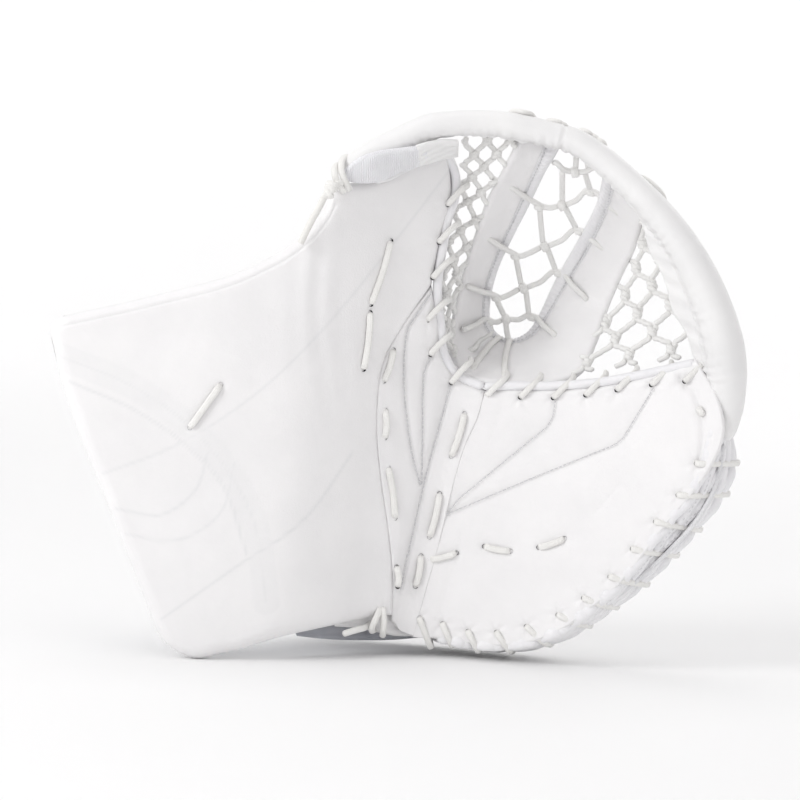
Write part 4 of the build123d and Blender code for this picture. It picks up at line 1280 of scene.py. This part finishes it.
def rim_sleeve(name, start, end, rows):
    """A padded leather sleeve, with puckers where it is drawn in towards the pocket."""
    ring = 72
    t = np.linspace(start, end, rows)
    whole = rim_point(t)
    path = whole[:, :3]
    along = np.gradient(path, axis=0)
    along /= np.linalg.norm(along, axis=1)[:, None]
    outward = np.cross(along, (0, 1, 0))
    outward /= np.linalg.norm(outward, axis=1)[:, None]
    depth = np.cross(outward, along)
    every = np.linspace(0, 1, 900)
    run = np.interp(t, every, run_along(rim_point(every)[:, :3]))
    a = np.linspace(0, 2 * np.pi, ring, endpoint=False)
    rr, aa = np.meshgrid(run, a, indexing="ij")
    inner = np.exp(-((np.mod(aa - np.pi * 1.08 + np.pi, 2 * np.pi) - np.pi) / 1.15) ** 2)
    tight = 0.45 + 0.55 * np.abs(np.sin(rr * 0.031 + 0.7)) ** 1.5
    fine = field(rr, np.sin(aa) * 9 + np.cos(aa) * 3, 5.2, 7.0, 3)
    pucker = np.sin(rr * 0.78 + 2.4 * np.sin(rr * 0.13) + 0.9 * np.sin(aa * 2)) * 0.55 + 0.75 * fine
    soft = field(rr, np.sin(aa) * 10 + np.cos(aa) * 10 + 40, 26.0, 8.0)
    bumps = inner * tight * pucker * 1.15 + soft * 0.5
    bumps += -0.9 * np.exp(-((np.mod(aa - np.pi * 0.86 + np.pi, 2 * np.pi) - np.pi) / 0.045) ** 2)
    tucked = 1 - 0.10 * smoothstep((rr - rr[-1:] + 7) / 3) if start == 0 else 1.0
    near_end = rr - rr[:1] if start == 0 else rr[-1:] - rr
    tip = np.clip(dome(near_end + 0.1, 5.0), 0.12, 1) * tucked
    across = (whole[:, 3:4] + bumps) * tip
    deep = (whole[:, 4:5] + bumps) * tip
    verts = path[:, None] + outward[:, None] * (across * np.cos(aa))[..., None]
    verts = verts - depth[:, None] * (deep * np.sin(aa))[..., None]
    faces = grid_faces(rows, ring, wrap=True)
    faces.append(tuple(range(ring))[::-1])
    faces.append(tuple((rows - 1) * ring + k for k in range(ring)))
    uv = np.stack([aa / (2 * np.pi), rr], axis=-1).reshape(-1, 2)
    # painted shade: darker in the sunk parts of the puckers on the pocket side, carried in the same attribute
    # as the edge wear
    edge_wear_and_pucker_shade = (0.25 * inner * np.clip(-pucker, 0, 1)).ravel()
    return add_mesh(name, verts.reshape(-1, 3), faces, rim_leather, uv=uv,
                    extra={"edge_wear_and_pucker_shade": edge_wear_and_pucker_shade})


def make_rim():
    first = over_a(rim_sleeve("rim_sleeve_thumb", 0.0, RIM_SPLIT + 0.008, 300), 16, 8)
    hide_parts("rim_cover_thumb")
    second = over_b(rim_sleeve("rim_sleeve_fingers", RIM_SPLIT, 1.0, 380), 8, 16)
    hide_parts("rim_cover_top", "rim_cover_finger")

    # the leather drawn from the sleeve towards the finger net, with scalloped lace points
    t = np.linspace(12.9, 18.2, 18) / 21
    whole = rim_point(t)
    near = whole[:, :3] + np.array([(-0.62 * h, -2.0, -0.26 * h) for h in whole[:, 3]])
    reach = -3.0 + 16.0 * np.sin(np.linspace(0.1, np.pi * 0.9, 18))
    scallop = 3.0 * np.abs(np.sin(np.linspace(0, 3.5 * np.pi, 18)))
    far = near + np.stack([-(reach - scallop) * 0.86 - 4, 5 + reach * 0.25, -(reach - scallop) * 0.35],
                          axis=1)
    flap = Span(near, far, 1.0)

    def drawn(along, across, edge):
        return 0.7 * np.sin(along * 0.42 + 0.3 * across) * smoothstep(across / 6) * smoothstep(edge / 2)

    leaf = span_pad("rim_inner_leaf", flap, 160, 30, 3.4, rim_leather, None, swell=0.3, ripple=0.5,
                    relief=drawn)
    over_b(leaf, 2, 30)


def make_rim_laces():
    """Laces on the outside of the rim: each comes from behind it, lies along its top and goes back."""
    def loop(station, length, lift, lean=0.0):
        share = np.linspace(0, 1, 44)
        whole = rim_point(np.array([station - 0.3, station, station + 0.3]) / 21)
        along = whole[2, :3] - whole[0, :3]
        along /= np.linalg.norm(along)
        local = rim_point((station + (share - 0.5) * length / 17.0) / 21)
        outward = np.cross(along, (0, 1, 0))
        outward /= np.linalg.norm(outward)
        angle = np.pi * (0.5 - (0.44 + lean) * np.sin(np.pi * share) ** 0.6)
        return (local[:, :3] + outward * ((local[:, 3] + lift) * np.cos(angle))[:, None]
                + np.array([0, 1.0, 0]) * ((local[:, 4] + lift) * np.sin(angle))[:, None])

    top = [loop(7.85, 19, 1.5, 0.05), loop(7.95, 15, 0.6, -0.05), loop(9.15, 15, 0.7),
           loop(9.35, 13, 0.3, -0.06)]
    laces("rim_loops_top", top, "pocket", ["rim_lace_top"])
    side = [loop(10.3, 14, 0.8), loop(10.65, 14, 1.0, -0.05), loop(11.0, 13, 0.6), loop(13.1, 20, 0.7),
            loop(13.25, 16, 0.2, -0.06)]
    laces("rim_loops_fingers", side, "finger_side", ["rim_lace_finger"])


# ---- the thumb's tip -----------------------------------------------------------------------------

def make_thumb_tip():
    """The ribbed knit strip, its piping, the lace loop over the rim's end, the knot and the free tail."""
    knit = Span([(-35, -22.5, 311.5), (-25, -24.5, 319.5), (-13, -22.5, 323.3), (-1, -19, 324.6),
                 (9, -16.5, 325.6), (17, -14, 326.5)],
                [(-34, -18, 305), (-25, -16, 303), (-13, -11, 304), (-2, -4, 309), (9, 1, 313), (19, 5, 316)])
    rib = span_pad("tip_knit", knit, 160, 24, 4.0, rib_knit, "thumb_side", swell=0.9, ripple=0.5, seed=9.0,
                   relief=lambda along, across, edge: 0.10 * np.sin(along * 4.2) * smoothstep(edge / 1.5))
    corner = Span([(10, -17.5, 326), (17, -14.5, 328), (27, -9, 329.5), (37, -5, 329)],
                  [(10, 0, 313.5), (18, 4, 316), (28, 9, 318.5), (37, 12, 320)])

    def slanted(along, across, edge):
        return 0.35 * np.sin(across * 1.1 + along * 0.5) * smoothstep(edge / 3)

    flap = span_pad("tip_corner_leather", corner, 70, 40, 4.5, rim_leather, "thumb_side", swell=0.8,
                    ripple=0.9, seed=12.0, relief=slanted)
    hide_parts("thumb_tip_rib")
    line = curve([(-15, -9, 303.8), (-9, -5, 305), (4, 5, 310.8), (16, 12, 315.5), (27, 17, 319)], 80)
    tubes("tip_piping", [line], 1.5, 1.5, binding_leather, "thumb_side", ring=14)

    loops = [curve([(-31.5, -18, 299), (-32.5, -22.5, 300.5), (-34.5, -26, 305), (-36.5, -26, 311),
                    (-36.5, -22.5, 316), (-34, -14, 319.5), (-31.5, -5, 318), (-32, 2, 311)], 60),
             curve([(-34.5, -20, 297.5), (-37, -25.5, 300.5), (-40, -28, 306), (-41, -25, 311.5),
                    (-39.5, -18, 314.5), (-37.5, -9, 313), (-37, -2, 308)], 60)]
    knotted = [knot((-42.5, -31, 301.5), (0.5, 0.2, 1), 1.7, 2.9, 4.4),
               knot((-43.8, -31.5, 297.6), (1, 0.1, 0.4), 1.3, 2.6, 3.2),
               curve([(-35.5, -26.5, 304), (-39, -29, 303), (-42.5, -31.5, 300), (-45.5, -33.5, 297.2),
                      (-48, -33.6, 293.6)], 24)]
    laces("tip_loop_and_knot", loops + knotted, "thumb_side", ["tip_lace_knot"], thick=1.6)

    route = [(-47.5, -33.5, 294.5), (-51, -34.2, 287), (-56, -34.5, 279), (-62, -34, 266)]
    data = bpy.data.curves.new("tip_lace_end", "CURVE")
    data.dimensions = "3D"
    spline = data.splines.new("NURBS")
    spline.points.add(len(route) - 1)
    for point, place in zip(spline.points, route):
        point.co = (*(PLACE @ Vector(place)), 1.0)
    spline.order_u = 3
    spline.use_endpoint_u = True
    data.bevel_depth = 0.0021
    data.bevel_resolution = 5
    data.resolution_u = 10
    data.use_fill_caps = True
    data.materials.append(cord_white)
    tail = bpy.data.objects.new("tip_lace_end", data)
    bpy.context.scene.collection.objects.link(tail)
    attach(tail, "thumb_side")
    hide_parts("tip_lace_tail")


# ---- linings, the back of the hand, and the straps -----------------------------------------------

LINER_AT = 8.3
LINER_THICK = 5.0


def make_linings():
    inside = lambda face: (lambda x, z: face(x, z) + LINER_AT + LINER_THICK)
    # the cuff's lining, with the glove's inside towards the back
    low, high = [(-147, 45), (-110, 26), (-30, 46)], [(-202, 198), (-60, 246)]
    sides = ([low[:2], low[1:]], [[(-30, 46), (-34, 120), (-40, 180), (-60, 246)]], [high],
             [[(-147, 45), (-202, 198)]])
    seams = [(np.array([(-160 + 24 * n, 40), (-190 + 27 * n, 230)], float), 1.0, 1.8) for n in range(6)]
    over_board = lambda x, z: inside(thumb_face)(x, z) + 2.2
    cuff = padded_panel("cuff_lining", sides, (90, 110), over_board, LINER_THICK, 3.0, hand_lining,
                        "thumb_side", seams=seams, swell=0.8, swell_reach=8, side=-1,
                        ripple=0.6)
    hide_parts("cuff_liner")

    # a strip of lining that shows below the board at the heel, and the leather and laces next to it
    low = [(-66, 13.5), (-50, 10), (-26, 6.2), (-4, 4.8), (12, 5)]
    high = [(-76, 36), (-50, 42), (-20, 47), (12, 47)]
    face = lambda x, z: thumb_face(x, z) + 16.5 + 0.10 * (46 - z)
    heel = padded_panel("heel_lining", between(low, high), (90, 24), face, 6.0, 3.0, heel_cloth, "thumb_side",
                        seams=[(curve([(-70, 17), (-40, 13), (0, 12)], 30), 0.9, 1.4)],
                        swell=1.0, ripple=0.8, ripple_scale=12)
    low = [(-42, 19), (-28, 16.2), (-16, 12.5), (-4, 9), (8, 7.6)]
    high = [(-42, 27), (-10, 30), (8, 28)]
    face = lambda x, z: thumb_face(x, z) + 7.5 + 0.15 * (30 - z)
    fold = padded_panel("heel_leather", between(low, high), (90, 30), face, 5.0, 2.4, white_leather,
                        "thumb_side",
                        seams=[(curve([(-40, 22), (-20, 17.5), (6, 13.5)], 30), 0.7, 1.0)], swell=0.8,
                        ripple=0.7, ripple_scale=9, seed=4.0)
    front = lambda x, z, out: (x, float(thumb_face(x, z)) - out, z)
    ties = [curve([front(-12.5, 29, -3), front(-13, 28.4, 1.8), front(-15.2, 24, 2.6),
                   front(-17.6, 18.5, 1.2), front(-18, 14.5, -4), front(-16.5, 14, -10)], 40),
            curve([front(-11, 29, -3), front(-10.9, 28.4, 1.8), front(-10.4, 22, 2.6), front(-10.8, 15, 1.2),
                   front(-11.2, 11.2, -4), front(-11.5, 11, -10)], 40),
            curve([front(-19, 18.8, -8), front(-23, 17.4, -2), front(-29, 16.6, 0), front(-36.5, 15.2, 0.5)],
                  30)]
    laces("heel_laces", ties, "thumb_side", thick=1.6)

    # the palm's lining
    bottom = [(34, 12), (83, 13), (110, 24), (128, 38)]
    right = [(128, 38), (160, 72), (186, 110), (198, 134)]
    top = [(72, 162), (98, 163), (128, 166), (160, 171), (178, 176)]
    left = [(34, 12), (50, 80), (72, 162)]
    seams = [(np.array([(60 + 24 * n, 16 + 16 * n), (80 + 26 * n, 163 + 3 * n)], float), 1.0, 1.8)
             for n in range(4)]
    sides = ([bottom], [right, [(198, 134), (190, 165), (178, 176)]], [top], [left])
    palm = padded_panel("palm_lining", sides, (90, 90), inside(finger_face), LINER_THICK, 3.0, hand_lining,
                        "finger_side", seams=seams, swell=0.8, swell_reach=8, side=-1,
                        ripple=0.6)
    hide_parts("palm_liner")


def make_back_of_hand():
    top = [(-50, 146), (0, 160), (60, 162), (120, 166), (180, 179)]
    bottom = [(-66, 26), (-42, 15), (-6, 5), (30, 0.6), (90, 0.6)]
    left = [(-66, 26), (-70, 60), (-62, 110), (-50, 146)]
    right = [[(90, 0.6), (127, 27), (167, 61), (196, 96), (208, 130)], [(208, 130), (198, 162), (180, 179)]]
    seams = [(curve([(-56, 128), (0, 138), (70, 138), (150, 142), (204, 146)], 60), 2.0, 2.2),
             (curve([(-68, 70), (0, 66), (60, 62), (120, 62), (164, 62)], 60), 2.0, 2.2),
             (curve([(-66, 40), (0, 30), (60, 24), (116, 22)], 60), 1.6, 2.0),
             (curve([(-10, 66), (-14, 100), (-8, 137)], 30), 1.6, 2.0),
             (curve([(130, 62), (142, 100), (150, 142)], 30), 1.6, 2.0)]
    guard = padded_panel("back_guard", ([bottom], right, [top], [left]), (180, 120),
                         lambda x, z: guard_face(x, z) + GUARD, GUARD - 3.2, 5.0, white_leather,
                         "finger_side", seams=seams, swell=1.6, swell_reach=12, side=-1,
                         ripple=0.5)
    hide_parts("backhand_guard")
    lines = [on_face(guard_face, line, -GUARD - 0.2) for line, _, _ in seams]
    threads("back_guard_stitches", stitch_row(lines, normal=(0, 1, 0)), "finger_side")

    # its lining, towards the hand
    bottom = [(-58, 32), (-6, 12), (30, 8), (88, 8)]
    top = [(-44, 140), (0, 153), (60, 155), (120, 159), (176, 171)]
    left = [(-58, 32), (-62, 62), (-44, 140)]
    right = [[(88, 8), (124, 34), (162, 67), (200, 130)], [(200, 130), (192, 158), (176, 171)]]
    quilts = [(np.array([(-40 + 34 * n, 12), (-34 + 36 * n, 160)], float), 1.0, 1.8) for n in range(6)]
    liner = padded_panel("back_lining", ([bottom], right, [top], [left]), (110, 80),
                         lambda x, z: guard_face(x, z) - 5.0, 4.6, 2.4, hand_lining, "finger_side",
                         seams=quilts, swell=0.7, swell_reach=8, ripple=0.5)
    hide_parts("backhand_liner")


def wall_pad(name, line, near, far, node, body="thumb_side", thickness=3.0, material=white_mesh,
             rows=70, folds=0.5):
    """A padded wall that stands on a line in X and Z, from one face to another."""
    path = curve(line, rows)
    a = np.stack([path[:, 0], near(path[:, 0], path[:, 1]), path[:, 1]], axis=1)
    b = np.stack([path[:, 0], far(path[:, 0], path[:, 1]), path[:, 1]], axis=1)
    along = np.gradient(path, axis=0)
    along /= np.linalg.norm(along, axis=1)[:, None]
    out = np.stack([along[:, 1], 0 * along[:, 0], -along[:, 0]], axis=1)
    share = crowd(26, 0.7)
    run = run_along(path)
    rr, ss = np.meshgrid(run, share, indexing="ij")
    deep = np.linalg.norm(b - a, axis=1)[:, None] * ss
    edge = np.minimum(np.minimum(deep, deep[:, -1:] - deep), np.minimum(rr, rr[-1:] - rr))
    half = thickness / 2 * dome(edge, thickness * 0.6)
    fold = folds * (np.sin(deep * 0.5 + 1.2 * np.sin(rr * 0.12)) + field(rr, deep, 9.0, 5.0))
    fold = fold * smoothstep(edge / 5)
    place = a[:, None] * (1 - ss[..., None]) + b[:, None] * ss[..., None]
    front = place + out[:, None] * (half + fold)[..., None]
    back = place - out[:, None] * (half - fold)[..., None]
    piece = two_sided(name, front, back, material, body)
    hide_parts(node)


def make_walls():
    """The soft walls between the palm and the guard, the finger dividers, and the thumb's stall."""
    front = lambda x, z: finger_face(x, z) + LINER_AT + LINER_THICK
    guard = lambda x, z: guard_face(x, z) - 5.4
    low = [(52, 4), (82, 5), (106, 16), (131, 32), (156, 54), (174, 72), (190, 92), (200, 112), (205, 138)]
    wall_pad("edge_gusset", low, lambda x, z: front(x, z) - 2, guard, "perimeter_gusset", "finger_side",
             rows=120)
    high = [(82, 167), (110, 168), (140, 172), (166, 177), (180, 181)]
    wall_pad("index_side_gusset", high, lambda x, z: finger_face(x, z) + 12, guard, "index_gusset",
             "finger_side")
    for number, (left, right, z) in enumerate([(58, 154, 62), (70, 180, 94), (82, 190, 126)], 1):
        wall_pad(f"finger_wall_{number}", [(left, z), ((left + right) / 2, z), (right, z)],
                 lambda x, z: front(x, z) + 0.6, guard, f"finger_divider_{number}", "finger_side", 2.6,
                 hand_lining, folds=0.3)
    thumb_front = lambda x, z: thumb_face(x, z) + LINER_AT
    thumb_back = lambda x, z: stall_face(x, z) - 0.4
    for where, line in (("outer", [(-34, 206), (-33, 235), (-31, 262), (-29.5, 288)]),
                        ("inner", [(11.5, 234), (16, 250), (17.5, 264), (17.5, 302)]),
                        ("tip", [(-28, 290.5), (-5, 296.5), (16, 302.8)])):
        wall_pad(f"thumb_{where}_gusset", line, thumb_front, thumb_back, f"thumb_gusset_{where}")
    sides = ([[(-34, 204), (-2, 196)]], [[(-2, 196), (14, 232), (20, 262), (20, 306)]],
             [[(-32, 292), (20, 306)]], [[(-34, 204), (-32, 292)]])
    seams = [(curve([(-33, 232), (12, 228)], 20), 1.6, 2.0), (curve([(-33, 262), (20, 264)], 20), 1.6, 2.0)]
    guard_panel = padded_panel("thumb_guard", sides, (70, 110), lambda x, z: stall_face(x, z) + GUARD, GUARD,
                               5.0, white_leather, "thumb_side", seams=seams, swell=1.4,
                               swell_reach=10, side=-1)
    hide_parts("thumb_back_guard")
    lines = [on_face(stall_face, line, -GUARD - 0.3) for line, _, _ in seams]
    threads("thumb_guard_stitches", stitch_row(lines, normal=(0, 1, 0)), "thumb_side")


def band(name, path, left, right, thickness, material, body, node, slot, rows=80, edge_round=1.2, wave=0.0):
    """A strap that follows a path in Y and Z and runs from one X to another."""
    points = np.array([(y, z, ny, nz) for (y, z), (ny, nz) in path], float)
    line = Span.line(points, np.linspace(0, 1, rows))
    normal = line[:, 2:] / np.linalg.norm(line[:, 2:], axis=1)[:, None]
    run = run_along(line[:, :2])
    x = left + (right - left) * crowd(40, 0.8)
    rr, xx = np.meshgrid(run, x, indexing="ij")
    edge = np.minimum(np.minimum(xx - left, right - xx), np.minimum(rr, rr[-1:] - rr))
    half = thickness / 2 * dome(edge, edge_round)
    groove_depth = 0.35 * np.exp(-((edge - 3.2) / 0.7) ** 2)
    ripple = wave * field(rr, xx, 16.0, 3.0) * smoothstep(edge / 6)
    middle = line[:, None, :2] + normal[:, None] * (thickness / 2 + ripple)[..., None]
    outer = middle + normal[:, None] * (half - groove_depth)[..., None]
    inner = middle - normal[:, None] * half[..., None]
    front, back = (np.concatenate([xx[..., None], side], axis=-1) for side in (outer, inner))
    piece = two_sided(name, front, back, material, body, uv=np.stack([xx - left, rr], axis=-1))
    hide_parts(node)


WRIST_STRAP_X = (-142, -96)
WRIST_TAB = [((-15, 52), (0.6, -0.8)), ((7, 62), (0.7, -0.7)), ((25, 83), (0.85, -0.5)),
             ((35, 108), (0.96, -0.25))]
WRIST_FLAP = [((-14.5, 214), (0.3, 0.95)), ((12, 205), (0.55, 0.83)), ((33, 182), (0.8, 0.6)),
              ((43.5, 150), (0.99, 0.1)), ((43, 118), (0.98, -0.2)), ((36, 88), (0.9, -0.43)),
              ((23, 66), (0.75, -0.66))]
STRAP, PATCH = 2.6, 1.2


def make_straps():
    left, right = WRIST_STRAP_X
    band("wrist_tab", WRIST_TAB, left, right, STRAP, loop_tape, "thumb_side", "cuff_strap_tab", "loop_tape",
         wave=0.15)
    band("wrist_strap", WRIST_FLAP, left, right, STRAP, strap_web, "cuff_strap", "cuff_strap", "webbing",
         rows=160, wave=0.3)
    under = [((y - 0.5 * ny, z - 0.5 * nz), (-ny, -nz)) for (y, z), (ny, nz) in WRIST_FLAP[-3:]]
    band("wrist_hooks", under, left + 2, right - 2, PATCH, hook_tape, "cuff_strap", "cuff_strap_hook",
         "hook_tape", edge_round=0.6)

    lean = lambda v, z: v + FINGER_LEAN * (z - FINGER_LEVEL)

    def on_back(name, low, high, z_low, z_high, lift, thick, material, body, node, seams=(),
                counts=(90, 40)):
        sides = between(*([(lean(low, z), z), (lean(high, z), z)] for z in (z_low, z_high)))
        piece = padded_panel(name, sides, counts, lambda x, z: guard_face(x, z) + lift + thick, thick, 1.0,
                             material, body, seams=seams, ripple=0.12, side=-1)
        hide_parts(node)

    on_back("hand_strap_sewn_end", 85, 106, 84, 118, GUARD + 0.4, PATCH + 0.6, strap_web, "finger_side",
            "hand_strap_anchor", counts=(40, 50))
    on_back("hand_strap_loops", 2, 62, 84, 118, GUARD + 0.4, PATCH, loop_tape, "finger_side",
            "hand_strap_loop")
    on_back("hand_strap_hooks", 4, 34, 87, 115, GUARD + 0.8 + PATCH, PATCH, hook_tape, "hand_strap",
            "hand_strap_hook")
    border = bent([(lean(v, z), z) for v, z in ((2, 86.5), (82, 86.5), (82, 115.5), (2, 115.5), (2, 86.5))],
                  200)
    on_back("hand_strap_web", 0, 84, 84, 118, GUARD + 1.2 + 2 * PATCH, STRAP, strap_web, "hand_strap",
            "hand_strap", seams=[(border, 0.35, 0.7)], counts=(140, 60))
    line = on_face(guard_face, border, 0.1 - (GUARD + 1.2 + 2 * PATCH + STRAP))
    threads("hand_strap_stitches", stitch_row([line], normal=(0, 1, 0)), "hand_strap", 0.34, 0.3)

    strap = padded_panel("thumb_hold_strap", between([(-28, 214), (6, 214)], [(-28, 238), (6, 238)]),
                         (60, 40), lambda x, z: 0 * x + 37.7, 2.6, 1.1, strap_web, "thumb_side",
                         swell=0.1, ripple=0.2)
    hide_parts("thumb_strap")


def finish_hidden_nodes():
    """Rods and stiffening sheets inside the leather keep their CAD shapes and get plastic finishes."""
    for node, material in (("rim_core_thumb", rod_plastic), ("rim_core_top", rod_plastic),
                           ("rim_core_finger", rod_plastic), ("palm_core", sheet_plastic),
                           ("backhand_core", sheet_plastic)):
        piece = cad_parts[node]
        if piece.material_slots:
            for holder in piece.material_slots:
                holder.material = material
        else:
            piece.data.materials.append(material)


cord_white = plastic("cord_white", shade_of(0.89, 0.88, 0.85), shade_of(0.82, 0.81, 0.78))

def ride_on(body):
    return lambda piece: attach(piece, body)


def both_ends(runs):
    return [place for run in runs for place in run]


make_board()
make_palm()
make_stitching()
make_edge_roll()
make_perimeter_laces()
make_mouth_binding()
make_face_laces()
make_mouth_laces()
make_holes("holes_thumb", THUMB_EDGE_HOLES, palm_face, over_a, 0.4)
make_holes("holes_board", both_ends(BOARD_RUNS + CUFF_RUNS), thumb_face, ride_on("thumb_side"), 0.9)
make_holes("holes_palm", PALM_TOP_HOLES[1:] + [place for place, _ in PERIMETER_TURNS] + both_ends(PALM_RUNS),
           palm_face, over_b, 1.2)
make_holes("holes_break", both_ends(BREAK_RUNS), palm_face, ride_on("pocket"), 0.9)
make_web()
make_nets()
make_rim()
make_rim_laces()
make_thumb_tip()
make_linings()
make_back_of_hand()
make_walls()
make_straps()
finish_hidden_nodes()
